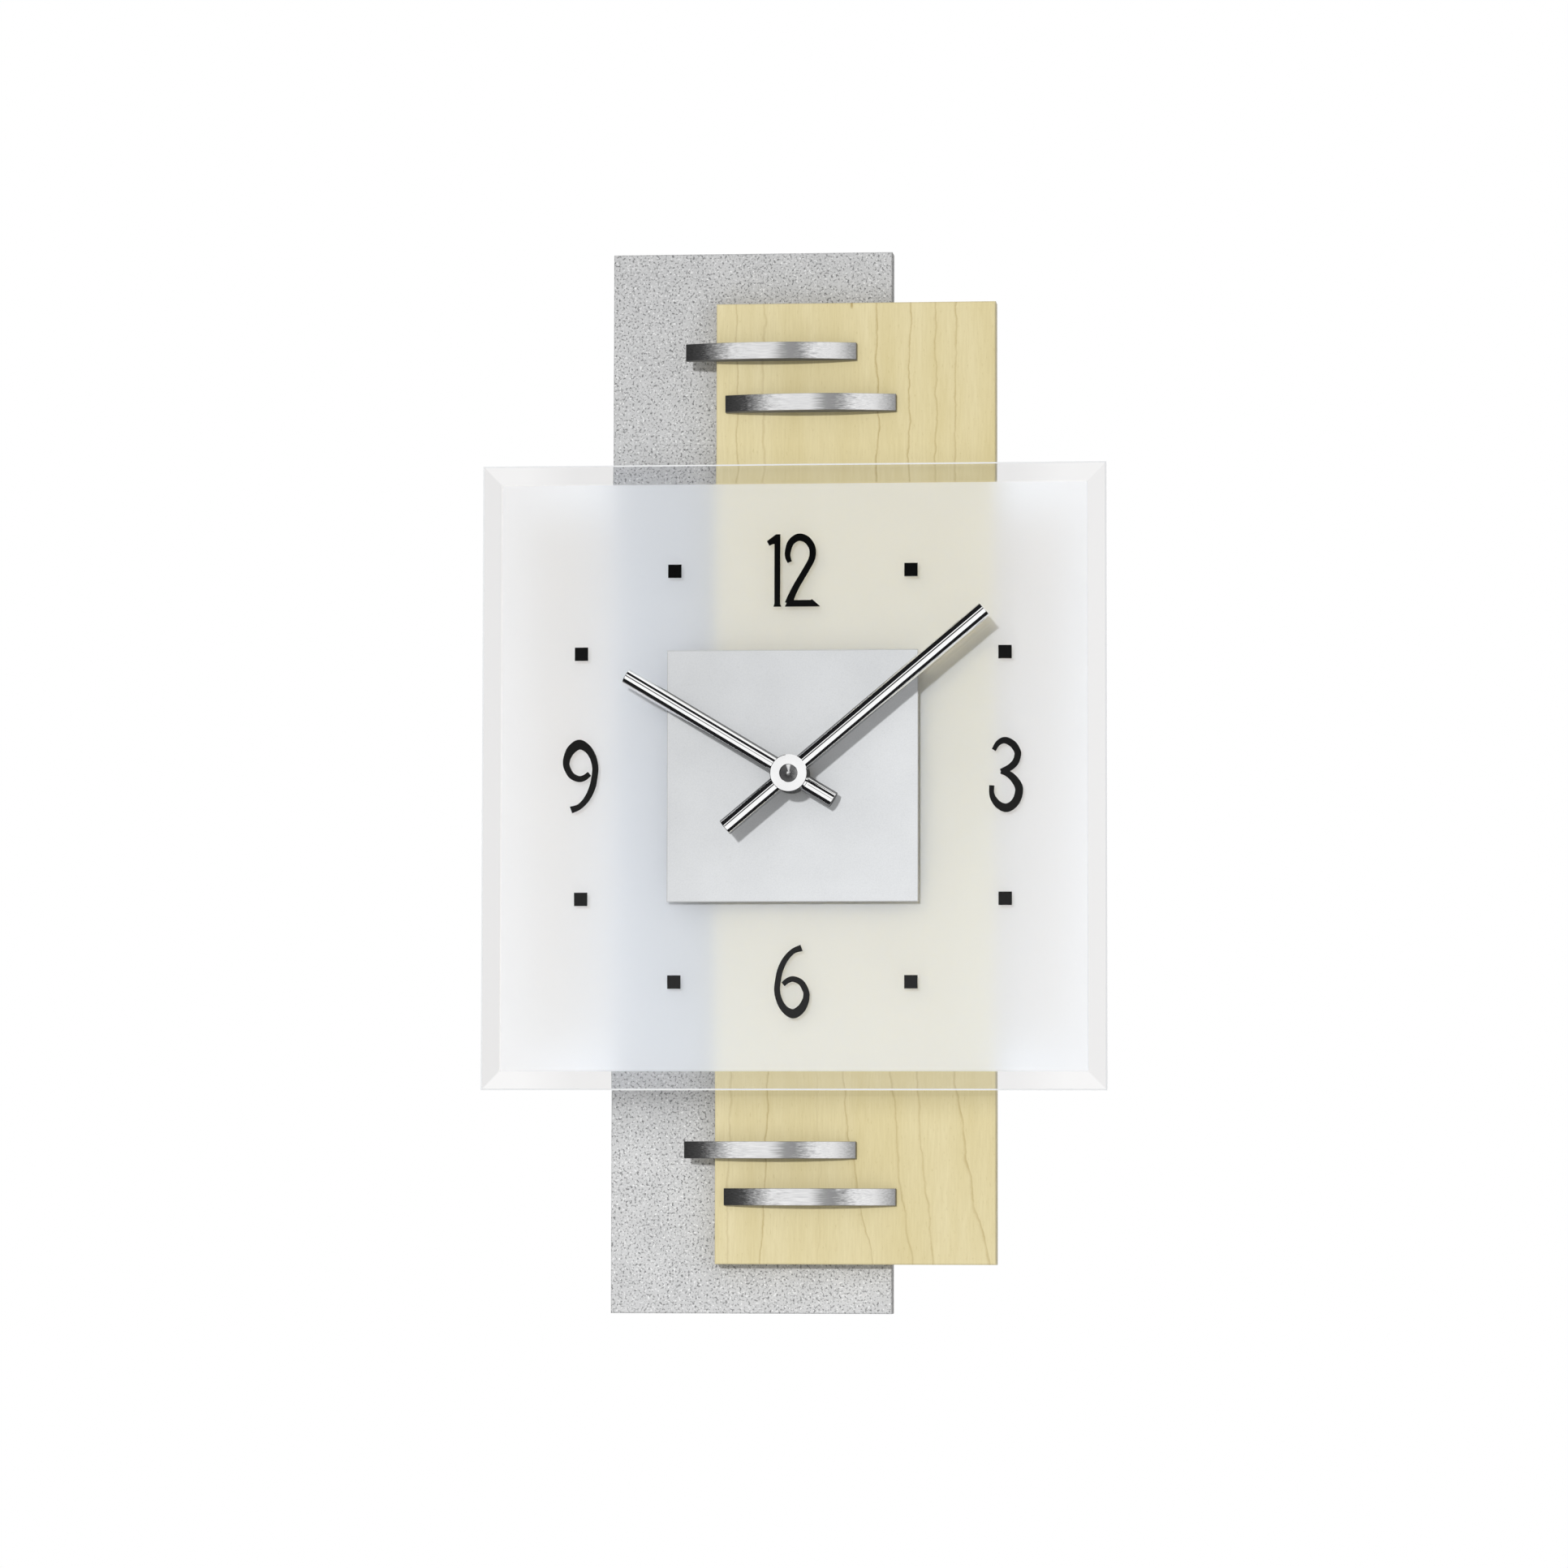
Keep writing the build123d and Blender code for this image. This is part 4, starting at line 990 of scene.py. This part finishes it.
smallDefaults = {  # what a small part has unless its own look says otherwise
    "softness": 0.22,
    "patch": 0.012,
    "grainPart": 0.6,  # of the change from dark to light; the rest is patches
    "rubReach": 0.1,
    "rub": 0.3,
    "metallic": 0.0,
    "bump": 0.1,
    "bumpDepth": 0.00004,
}
smallFinishes = {  # tones, grain or lines, gloss, and the CAD nodes that take the finish
    "turnedStandoff": {
        "dark": (0.60, 0.60, 0.61), "light": (0.76, 0.76, 0.77), "edge": (0.88, 0.88, 0.88),
        "lines": (9000.0, 300.0, 9000.0), "roughness": (0.22, 0.36), "metallic": 1.0,
        "nodes": ["silver_standoffs", "maple_standoffs"],
    },
    "zincScrew": {
        "dark": (0.52, 0.53, 0.54), "light": (0.70, 0.71, 0.72), "edge": (0.85, 0.85, 0.86),
        "grain": 0.0005, "roughness": (0.24, 0.42), "metallic": 1.0,
        "nodes": [
            "board_screws", "silver_standoff_screws", "maple_standoff_screws", "bow_bar_screws",
            "hanger_screws", "cover_screws",
        ],
    },
    "zincHanger": {
        "dark": (0.46, 0.47, 0.48), "light": (0.66, 0.67, 0.68), "edge": (0.82, 0.82, 0.82),
        "grain": 0.003, "patch": 0.008, "roughness": (0.28, 0.5), "metallic": 1.0,
        "nodes": ["hanger_plate"],
    },
    "bondPad": {
        "dark": (0.62, 0.63, 0.64), "light": (0.74, 0.75, 0.76), "edge": (0.8, 0.8, 0.8),
        "grain": 0.0006, "roughness": (0.45, 0.65),
        "nodes": ["bond_discs"],
    },
    "turnedBrass": {
        "dark": (0.55, 0.38, 0.13), "light": (0.76, 0.56, 0.23), "edge": (0.9, 0.74, 0.42),
        "lines": (5000.0, 300.0, 5000.0), "roughness": (0.2, 0.38), "metallic": 1.0,
        "nodes": ["threaded_bush", "brass_washer", "fixing_nut"],
    },
    "blackRubber": {
        "dark": (0.018, 0.018, 0.018), "light": (0.034, 0.034, 0.035), "edge": (0.07, 0.07, 0.07),
        "grain": 0.0004, "roughness": (0.6, 0.85),
        "nodes": ["rubber_washer"],
    },
    "mouldedCase": {
        "dark": (0.014, 0.014, 0.015), "light": (0.026, 0.026, 0.028), "edge": (0.10, 0.10, 0.105),
        "grain": 0.0005, "patch": 0.02, "roughness": (0.38, 0.55), "bump": 0.22, "rub": 0.35,
        "nodes": ["movement_case", "movement_cover"],
    },
    "mouldedKnob": {
        "dark": (0.66, 0.64, 0.58), "light": (0.74, 0.72, 0.66), "edge": (0.85, 0.84, 0.8),
        "grain": 0.0006, "roughness": (0.36, 0.5),
        "nodes": ["setting_knob"],
    },
    "mouldedWheel": {
        "dark": (0.70, 0.69, 0.64), "light": (0.80, 0.79, 0.75), "edge": (0.9, 0.9, 0.88),
        "grain": 0.0005, "roughness": (0.3, 0.45),
        "nodes": [
            "centre_wheel", "third_wheel", "seconds_wheel", "intermediate_wheel", "motion_wheel",
            "hour_wheel", "rotor_pinion",
        ],
    },
    "steelArbor": {
        "dark": (0.55, 0.55, 0.56), "light": (0.75, 0.75, 0.76), "edge": (0.9, 0.9, 0.9),
        "lines": (6000.0, 400.0, 6000.0), "roughness": (0.16, 0.3), "metallic": 1.0,
        "nodes": ["minute_arbor", "clutch_spring"],
    },
    "rotorMagnet": {
        "dark": (0.05, 0.05, 0.052), "light": (0.10, 0.10, 0.105), "edge": (0.2, 0.2, 0.2),
        "grain": 0.0003, "roughness": (0.35, 0.55), "metallic": 0.6,
        "nodes": ["rotor_magnet"],
    },
    "statorSteel": {
        "dark": (0.34, 0.34, 0.35), "light": (0.52, 0.52, 0.53), "edge": (0.7, 0.7, 0.7),
        "lines": (900.0, 6000.0, 900.0), "roughness": (0.3, 0.46), "metallic": 1.0,
        "nodes": ["stator"],
    },
    "mouldedBobbin": {
        "dark": (0.60, 0.12, 0.06), "light": (0.70, 0.17, 0.09), "edge": (0.8, 0.3, 0.2),
        "grain": 0.0006, "roughness": (0.35, 0.5),
        "nodes": ["coil_bobbin"],
    },
    "woundCopper": {
        "dark": (0.38, 0.13, 0.05), "light": (0.72, 0.32, 0.14), "edge": (0.85, 0.45, 0.25),
        "lines": (9000.0, 150.0, 150.0), "roughness": (0.2, 0.34), "metallic": 1.0, "bump": 0.4,
        "nodes": ["coil_winding"],
    },
    "greenLaminate": {
        "dark": (0.012, 0.10, 0.045), "light": (0.022, 0.16, 0.07), "edge": (0.45, 0.40, 0.22),
        "grain": 0.0012, "patch": 0.006, "roughness": (0.25, 0.4),
        "nodes": ["circuit_board"],
    },
    "chipResin": {
        "dark": (0.012, 0.012, 0.012), "light": (0.024, 0.024, 0.024), "edge": (0.06, 0.06, 0.06),
        "grain": 0.0002, "roughness": (0.5, 0.7),
        "nodes": ["control_chip"],
    },
    "crystalCan": {
        "dark": (0.62, 0.62, 0.62), "light": (0.80, 0.80, 0.80), "edge": (0.92, 0.92, 0.92),
        "lines": (60.0, 5000.0, 5000.0), "roughness": (0.14, 0.26), "metallic": 1.0,
        "nodes": ["quartz_crystal"],
    },
    "nickelContact": {
        "dark": (0.58, 0.57, 0.54), "light": (0.78, 0.77, 0.73), "edge": (0.9, 0.9, 0.87),
        "grain": 0.0008, "roughness": (0.18, 0.32), "metallic": 1.0,
        "nodes": ["battery_contact_positive", "battery_contact_negative"],
    },
}


def smallFinish(name, ownLook):  # two tones by flakes or lines, rubbed edges with a painted sheen, and a fine texture
    look = {**smallDefaults, **ownLook}
    finish, tree, surface = newFinish(name)
    if "lines" in look:
        grain = brushed(tree, look["lines"])
    else:
        grain = flakes(tree, look["grain"], look["softness"])
    tone = blended(tree, grain, drifting(tree, look["patch"]), look["grainPart"])
    # edges lightened partly as wear and partly as painted sheen
    rubbedAndSheen = times(tree, effect(tree, "edgeRubAndSheen", Reach=look["rubReach"])["Edge"], look["rub"])
    colour = mixColour(tree, tone, look["dark"], look["light"])
    smooth, dull = look["roughness"]
    feed(
        tree, surface,
        Base_Color=mixColour(tree, rubbedAndSheen, colour, look["edge"]),
        Metallic=look["metallic"],
        Roughness=between(tree, tone, dull, smooth),
    )
    bump(tree, surface, grain, look["bump"], look["bumpDepth"])
    return finish


batteryLook = {
    "sleeve": (0.055, 0.075, 0.12),
    "sleeveLight": (0.075, 0.10, 0.155),
    "patch": 0.01,
    "grain": (0.0004, 0.25),
    "band": (0.62, 0.64, 0.66),
    "bandShare": 0.24,  # of the length, at the positive end
    "bandMetallic": 0.6,
    "metal": (0.72, 0.72, 0.73),
    "bare": 0.0016,  # metal shows this far in from each end
    "roughness": (0.22, 0.34),
}


def batterySleeve():
    look = batteryLook
    finish, tree, surface = newFinish("batterySleeve")
    low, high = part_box("battery")
    along = spread(tree, partPlace(tree)[1], low.x, high.x)
    drift = drifting(tree, look["patch"])
    sleeve = times(tree, drift, flakes(tree, *look["grain"]))
    colour = mixColour(tree, sleeve, look["sleeve"], look["sleeveLight"])
    band = calc(tree, "GREATER_THAN", along, 1.0 - look["bandShare"])
    colour = mixColour(tree, band, colour, look["band"])
    fromMiddle = calc(tree, "ABSOLUTE", calc(tree, "SUBTRACT", along, 0.5))
    ends = calc(tree, "GREATER_THAN", fromMiddle, 0.5 - look["bare"] / (high.x - low.x))
    feed(
        tree, surface,
        Base_Color=mixColour(tree, ends, colour, look["metal"]),
        Metallic=calc(tree, "MAXIMUM", ends, times(tree, band, look["bandMetallic"])),
        Roughness=between(tree, drift, *look["roughness"]),
    )
    return finish


def dress(finish, *names):  # the CAD nodes that take this finish
    for name in names:
        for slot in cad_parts[name].material_slots:
            slot.material = finish


dress(silverLacquer(), "silver_board")
dress(mapleVeneer(), "maple_board")
dress(satinPlate(), "dial_plate")
dress(batterySleeve(), "battery")
for finishName, smallLook in smallFinishes.items():
    dress(smallFinish(finishName, smallLook), *smallLook["nodes"])
print("wall clock: finishes on the CAD nodes")


# Pieces

front = Vector((0, -1, 0))
right = Vector((1, 0, 0))
dialAxis = Vector((0, 0, 0))  # where the dial's axis meets the wall


def addPiece(name, mesh, finish, body, node=None):
    for each in finish if isinstance(finish, tuple) else (finish,):
        mesh.materials.append(each)
    piece = newObject(name, mesh)
    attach(piece, body)
    if node:
        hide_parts(node)
    return piece


def finished(name, shape):  # a mesh from a bmesh, with its faces turned outwards
    bmesh.ops.recalc_face_normals(shape, faces=shape.faces)
    mesh = bpy.data.meshes.new(name)
    shape.to_mesh(mesh)
    shape.free()
    return mesh


def smoothed(mesh, sharpAngle=32):
    for face in mesh.polygons:
        face.use_smooth = True
    mesh.set_sharp_from_angle(angle=math.radians(sharpAngle))
    return mesh


def evenNormals(piece):
    piece.modifiers.new("evenNormals", "WEIGHTED_NORMAL").keep_sharp = True


def combine(first, second, operation):  # one closed mesh of two that overlap
    keep = newObject("combineKeep", first)
    tool = newObject("combineTool", second)
    step = keep.modifiers.new("combine", "BOOLEAN")
    step.operation = operation
    step.solver = "EXACT"
    step.object = tool
    bpy.context.view_layer.update()
    joined = bpy.data.meshes.new_from_object(keep.evaluated_get(bpy.context.evaluated_depsgraph_get()))
    for obj in (keep, tool):
        bpy.data.objects.remove(obj)
    return joined


def joinRings(shape, rings, closed, capped):  # quads between rings of points, with flat ends or joined up
    made = []
    for a, b in list(zip(rings, rings[1:])) + ([(rings[-1], rings[0])] if closed else []):
        sides = [(i, (i + 1) % len(a)) for i in range(len(a))]
        made.append([shape.faces.new((a[i], a[j], b[j], b[i])) for i, j in sides])
    if capped:
        shape.faces.new(rings[0])
        shape.faces.new(rings[-1])
    return made


def lathe(name, profile, turns, origin, along, side, closed=False):  # profile: way along the axis, and radius
    up = along.cross(side)
    shape = bmesh.new()
    angles = [2 * math.pi * i / turns for i in range(turns)]
    rings = [
        [shape.verts.new(origin + along * d + (side * math.cos(a) + up * math.sin(a)) * r) for a in angles]
        for d, r in profile
    ]
    joinRings(shape, rings, closed, not closed)
    return finished(name, shape)


def prism(name, outline, start, end, origin, along, side):  # an outline of side and up distances, drawn along
    up = along.cross(side)
    shape = bmesh.new()
    rings = [
        [shape.verts.new(origin + along * d + side * u + up * v) for u, v in outline]
        for d in (start, end)
    ]
    joinRings(shape, rings, False, True)
    return finished(name, shape)


def closedSlab(name, outlines, near, far):  # flat closed shapes of x and z points, between two depths
    shape = bmesh.new()
    for outline in outlines:
        rings = [[shape.verts.new((x, y, z)) for x, z in outline] for y in (near, far)]
        joinRings(shape, rings, False, True)
    return finished(name, shape)


def roundedEnd(edge, steps):  # offsets of a rounded edge: back from the face, in from the end
    turns = [0.5 * math.pi * i / steps for i in range(steps + 1)]
    return [(edge * (1 - math.sin(a)), edge * (1 - math.cos(a))) for a in turns]


# Hands

handShape = {  # metres
    "rod": 3.2 * mm,
    "wall": 0.5 * mm,
    "end": 1.0 * mm,  # closed length at each end of the tube
    "seam": 2.4 * mm,  # gap of the rolled tube, at its back
    "edge": 0.3 * mm,
    "hub": 7.1 * mm,
    "hubEdge": 0.2 * mm,
    "past": 1.0 * mm,  # how far a cut runs past the metal
    "turns": 128,
    "seamSteps": 48,
    "boreTurns": 64,
    "recessTurns": 96,
    "roundSteps": 5,
}
hands = {
    "minute_hand": {
        "body": "minute", "angle": 50.0, "length": 97.0 * mm, "tail": 32.0 * mm, "bore": 1.23 * mm,
        "recess": 3.5 * mm, "recessDepth": 2.7 * mm,
    },
    "hour_hand": {
        "body": "hour", "angle": 301.0, "length": 74.0 * mm, "tail": 19.0 * mm, "bore": 2.58 * mm,
    },
}


def tubeRod(name, hand, centre, along):
    size = handShape
    rounding = roundedEnd(size["edge"], size["roundSteps"])
    profile = [(-hand["tail"] + inward, size["rod"] - back) for back, inward in rounding]
    profile += [(hand["length"] - inward, size["rod"] - back) for back, inward in rounding[::-1]]
    rod = lathe(name, profile, size["turns"], centre, along, front)
    hollow, half, behind = size["rod"] - size["wall"], 0.5 * size["seam"], -size["rod"] - size["wall"]
    slotAngle = math.asin(half / hollow)
    steps = size["seamSteps"]
    arc = [slotAngle + (2 * math.pi - 2 * slotAngle) * i / steps for i in range(steps + 1)]
    keyhole = [(-hollow * math.cos(a), hollow * math.sin(a)) for a in arc] + [(behind, -half), (behind, half)]
    start, end = size["end"] - hand["tail"], hand["length"] - size["end"]
    return combine(rod, prism("seam", keyhole, start, end, centre, along, front), "DIFFERENCE")


def handMesh(name, hand):
    size = handShape
    low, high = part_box(name)
    hubBack, hubFront = -high.y, -low.y
    turn = math.radians(hand["angle"])
    along = Vector((math.sin(turn), 0, math.cos(turn)))
    rod = tubeRod(name, hand, front * (0.5 * (hubBack + hubFront)), along)
    radius, rim, past = size["hub"], size["hubEdge"], size["past"]
    hub = [(hubBack, radius - rim), (hubBack + rim, radius)]
    hub += [(hubFront - rim, radius), (hubFront, radius - rim)]
    shape = combine(rod, lathe("hub", hub, size["turns"], dialAxis, front, right), "UNION")
    cuts = [("bore", hubBack - past, size["boreTurns"])]
    if "recess" in hand:
        cuts.append(("recess", hubFront - hand["recessDepth"], size["recessTurns"]))
    for cut, start, turns in cuts:
        profile = [(start, hand[cut]), (hubFront + past, hand[cut])]
        shape = combine(shape, lathe(cut, profile, turns, dialAxis, front, right), "DIFFERENCE")
    return smoothed(shape)


handFinish = polishedHand()
for handName, hand in hands.items():
    mesh = handMesh(handName, hand)
    evenNormals(addPiece(handName + "_polished", mesh, handFinish, hand["body"], handName))

nutShape = {
    "cone": 3.25 * mm,
    "coneDepth": 1.3 * mm,
    "tip": 0.05 * mm,
    "bore": hands["minute_hand"]["bore"],
    "web": 0.15 * mm,
    "edge": 0.1 * mm,
    "turns": 96,
}


def nutMesh():
    size = nutShape
    low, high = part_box("hand_nut")
    back, face, outer = -high.y, -low.y, high.x
    floor = face - size["coneDepth"]
    profile = [
        (back, size["bore"]), (back, outer), (face - size["edge"], outer), (face, outer - size["edge"]),
        (face, size["cone"]), (floor, size["tip"]), (floor - size["web"], size["tip"]),
        (floor - size["web"], size["bore"]),
    ]
    return smoothed(lathe("hand_nut", profile, size["turns"], dialAxis, front, right, closed=True))


addPiece("hand_nut_turned", nutMesh(), turnedNut(), "minute", "hand_nut")
print("wall clock: hands made")


# Bow bars

barShape = {"rise": 5.0 * mm, "edge": 0.3 * mm, "steps": 72, "roundSteps": 4, "sharpAngle": 50}


def barMesh(name):
    low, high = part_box(name)
    edge, rise, steps = barShape["edge"], barShape["rise"], barShape["steps"]
    middle, halfLength = 0.5 * (low.x + high.x), 0.5 * (high.x - low.x)
    radius = (halfLength**2 + rise**2) / (2 * rise)
    rounding = roundedEnd(edge, barShape["roundSteps"])
    stations = [(low.x + inward, back) for back, inward in rounding]
    inner = halfLength - edge
    stations += [(middle - inner + 2 * inner * i / steps, 0.0) for i in range(1, steps)]
    stations += [(high.x - inward, back) for back, inward in rounding[::-1]]
    shape = bmesh.new()
    rings = []
    for x, back in stations:
        face = low.y + radius - math.sqrt(radius**2 - (x - middle) ** 2) + back
        section = [(high.y, low.z)]
        section += [(face + b, low.z + inward) for b, inward in rounding]
        section += [(face + b, high.z - inward) for b, inward in rounding[::-1]]
        section += [(high.y, high.z)]
        rings.append([shape.verts.new((x, y, z)) for y, z in section])
    joinRings(shape, rings, False, True)
    return smoothed(finished(name, shape), barShape["sharpAngle"])


barFinish = brushedBar()
for barName in ("upper_bow_bar_left", "upper_bow_bar_right", "lower_bow_bar_left", "lower_bow_bar_right"):
    mesh = barMesh(barName)
    evenNormals(addPiece(barName + "_brushed", mesh, barFinish, "frame", barName))
print("wall clock: bars made")


# Glass dial

paneShape = {"arris": 0.6 * mm, "bevel": 7.5 * mm, "bevelDepth": 1.8 * mm, "hole": 5.0 * mm, "count": 64}


def paneMesh():
    low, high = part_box("glass_dial")
    size = paneShape
    arris, half, count = size["arris"], high.x, size["count"]
    back, face = high.y, low.y
    shoulder = face + size["bevelDepth"]  # where the bevel meets the side
    angles = [2 * math.pi * i / count for i in range(count)]

    def loop(reach, y, square=True):
        points = []
        for a in angles:
            c, s = math.cos(a), math.sin(a)
            k = reach / max(abs(c), abs(s)) if square else reach
            points.append(shape.verts.new((c * k, y, s * k)))
        return points

    shape = bmesh.new()
    loops = [
        loop(size["hole"], back, False),
        loop(half - arris, back),
        loop(half, back - arris),
        loop(half, shoulder + 0.5 * arris),
        loop(half - arris, shoulder - arris * size["bevelDepth"] / size["bevel"]),
        loop(half - size["bevel"], face),
        loop(size["hole"], face, False),
    ]
    bands = joinRings(shape, loops, True, False)
    for band in (1, 3, 6):  # the two arrises and the wall of the hole are ground
        for part in bands[band]:
            part.material_index = 1
    return finished("dial_pane", shape)


addPiece("dial_pane", paneMesh(), (dialGlass(), groundEdge()), "frame", "glass_dial")


def frostSheet():
    look = frostLook
    outer, inner = etchedHalf() - look["inset"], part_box("dial_plate")[1].x - look["underPlate"]
    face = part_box("glass_dial")[1].y + look["lift"]
    back = face + look["thickness"]
    corners = [(-1, -1), (1, -1), (1, 1), (-1, 1)]
    shape = bmesh.new()
    rings = [
        [shape.verts.new((sx * reach, y, sz * reach)) for sx, sz in corners]
        for reach, y in ((inner, back), (outer, back), (outer, face), (inner, face))
    ]
    joinRings(shape, rings, True, False)
    return finished("dial_frost", shape)


addPiece("dial_frost", frostSheet(), etchedFrost(), "frame")

numeralLook = {
    "steps": 8,  # to each stretch of a stroke
    "lift": 0.01 * mm,  # off the front of the glass
    "thickness": 0.05 * mm,
    "places": {"12": (0.25, 78.8), "3": (81.7, 0.2), "6": (-0.1, -78.7), "9": (-81.5, 0.1)},
    "weight": {"12": 1.2, "3": 1.22, "6": 1.1, "9": 1.18},  # of the strokes
    "markHalf": 2.57,
    "marks": [(45.39, 78.77), (81.35, 47.07)],  # one of each four, mirrored
}
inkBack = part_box("glass_dial")[0].y - numeralLook["lift"]
inkFront = inkBack - numeralLook["thickness"]
nineStroke = [  # x, z and width in mm, from the numeral's centre
    (3.4, 1.0, 1.7), (1.5, -0.5, 1.9), (-0.7, -1.0, 2.0), (-3.5, 0.3, 2.1), (-5.1, 2.9, 2.15),
    (-5.6, 5.0, 2.2), (-5.1, 7.6, 2.5), (-3.5, 10.4, 3.0), (-0.6, 12.2, 3.25), (2.5, 10.7, 2.6),
    (4.6, 7.6, 2.2), (5.6, 3.8, 2.1), (5.45, 0.5, 2.05), (4.5, -4.3, 2.1), (2.5, -8.5, 2.0),
    (-0.4, -11.6, 1.9), (-3.7, -12.9, 2.3),
]
threeUpper = [
    (-4.7, 9.3, 1.4), (-2.9, 12.0, 1.7), (-0.3, 13.0, 2.1), (2.6, 11.5, 2.2), (4.3, 8.9, 2.15),
    (4.4, 7.0, 2.1), (3.55, 4.6, 2.15), (1.6, 2.7, 2.1), (-0.7, 1.6, 1.8), (-2.0, 1.1, 1.6),
]
threeLower = [
    (-2.0, 1.1, 1.5), (0.45, 0.4, 2.0), (2.8, -1.5, 2.3), (4.5, -4.0, 2.5), (5.0, -6.1, 2.5),
    (4.3, -9.2, 2.55), (2.6, -11.6, 2.65), (0.0, -12.8, 2.7), (-2.9, -11.6, 2.3), (-4.8, -9.2, 1.9),
    (-5.5, -6.9, 1.55), (-5.4, -4.2, 1.7),
]
twoStroke = [
    (-1.4, 3.15, 1.5), (-2.1, 5.1, 1.75), (-2.15, 7.0, 1.9), (-1.25, 10.2, 2.1), (0.55, 12.1, 2.3),
    (2.75, 12.7, 2.4), (5.3, 11.6, 2.3), (7.1, 9.0, 2.15), (7.45, 6.5, 2.1), (6.9, 3.9, 2.05),
    (4.9, 0.25, 2.05), (1.05, -6.3, 2.1), (-0.9, -10.4, 2.3), (-1.9, -12.8, 2.4),
]
twoFoot = [(-3.3, -13.95), (10.25, -13.95), (10.25, -13.8), (7.2, -11.1), (6.6, -11.4), (-2.0, -11.4)]
oneOutline = [
    (-5.0, 13.9), (-6.7, 13.9), (-10.2, 11.3), (-9.25, 9.5), (-8.05, 10.05), (-7.3, 10.2),
    (-7.3, -12.85), (-7.7, -13.95), (-4.6, -13.95), (-5.05, -12.85),
]


def strokeSides(stroke, steps):  # both sides of a smooth line through the stroke's points
    ends = [stroke[0], *stroke, stroke[-1]]
    line = []
    for a, b, c, d in zip(ends, ends[1:], ends[2:], ends[3:]):
        for i in range(steps):
            t = i / steps
            line.append([
                0.5 * (
                    2 * q + (r - p) * t + (2 * p - 5 * q + 4 * r - s) * t**2
                    + (3 * q - p - 3 * r + s) * t**3
                )
                for p, q, r, s in zip(a, b, c, d)
            ])
    line.append(list(stroke[-1]))
    sides = []
    for i, (x, z, width) in enumerate(line):
        before, after = line[max(i - 1, 0)], line[min(i + 1, len(line) - 1)]
        along = Vector((after[0] - before[0], after[1] - before[1])).normalized()
        aside, over = along.y * width / 2, along.x * width / 2
        sides.append((x - aside, z + over, x + aside, z - over))
    return sides


def strokeMesh(name, stroke, numeral):
    weight, centre = numeralLook["weight"][numeral], numeralLook["places"][numeral]
    sides = strokeSides([(x, z, width * weight) for x, z, width in stroke], numeralLook["steps"])
    shape = bmesh.new()
    rings = []
    for lx, lz, rx, rz in sides:
        corners = [(lx, inkFront, lz), (rx, inkFront, rz), (rx, inkBack, rz), (lx, inkBack, lz)]
        rings.append([
            shape.verts.new(((centre[0] + x) * mm, y, (centre[1] + z) * mm)) for x, y, z in corners
        ])
    joinRings(shape, rings, False, True)
    return finished(name, shape)


def outlineMesh(name, outline, numeral):
    centre = numeralLook["places"][numeral]
    moved = [((centre[0] + x) * mm, (centre[1] + z) * mm) for x, z in outline]
    return closedSlab(name, [moved], inkFront, inkBack)


def markMesh(name):
    half = numeralLook["markHalf"]
    corners = ((-half, -half), (half, -half), (half, half), (-half, half))
    squares = [
        [((sx * x + ex) * mm, (sz * z + ez) * mm) for ex, ez in corners]
        for x, z in numeralLook["marks"]
        for sx in (-1, 1)
        for sz in (-1, 1)
    ]
    return closedSlab(name, squares, inkFront, inkBack)


def turnedRound(stroke):  # the six is the nine turned upside down
    return [(-x, -z, width) for x, z, width in stroke]


ink = printedInk()
printed = {
    "numeral_9": strokeMesh("numeral_9", nineStroke, "9"),
    "numeral_6": strokeMesh("numeral_6", turnedRound(nineStroke), "6"),
    "numeral_3": combine(
        strokeMesh("numeral_3", threeUpper, "3"), strokeMesh("lower", threeLower, "3"), "UNION"
    ),
    "numeral_12_one": outlineMesh("numeral_12_one", oneOutline, "12"),
    "numeral_12_two": combine(
        strokeMesh("numeral_12_two", twoStroke, "12"), outlineMesh("foot", twoFoot, "12"), "UNION"
    ),
    "hour_marks": markMesh("hour_marks"),
}
for printName, mesh in printed.items():
    addPiece(printName, mesh, ink, "frame")
print("wall clock: frost, numerals and marks on the glass")

print("wall clock: done")
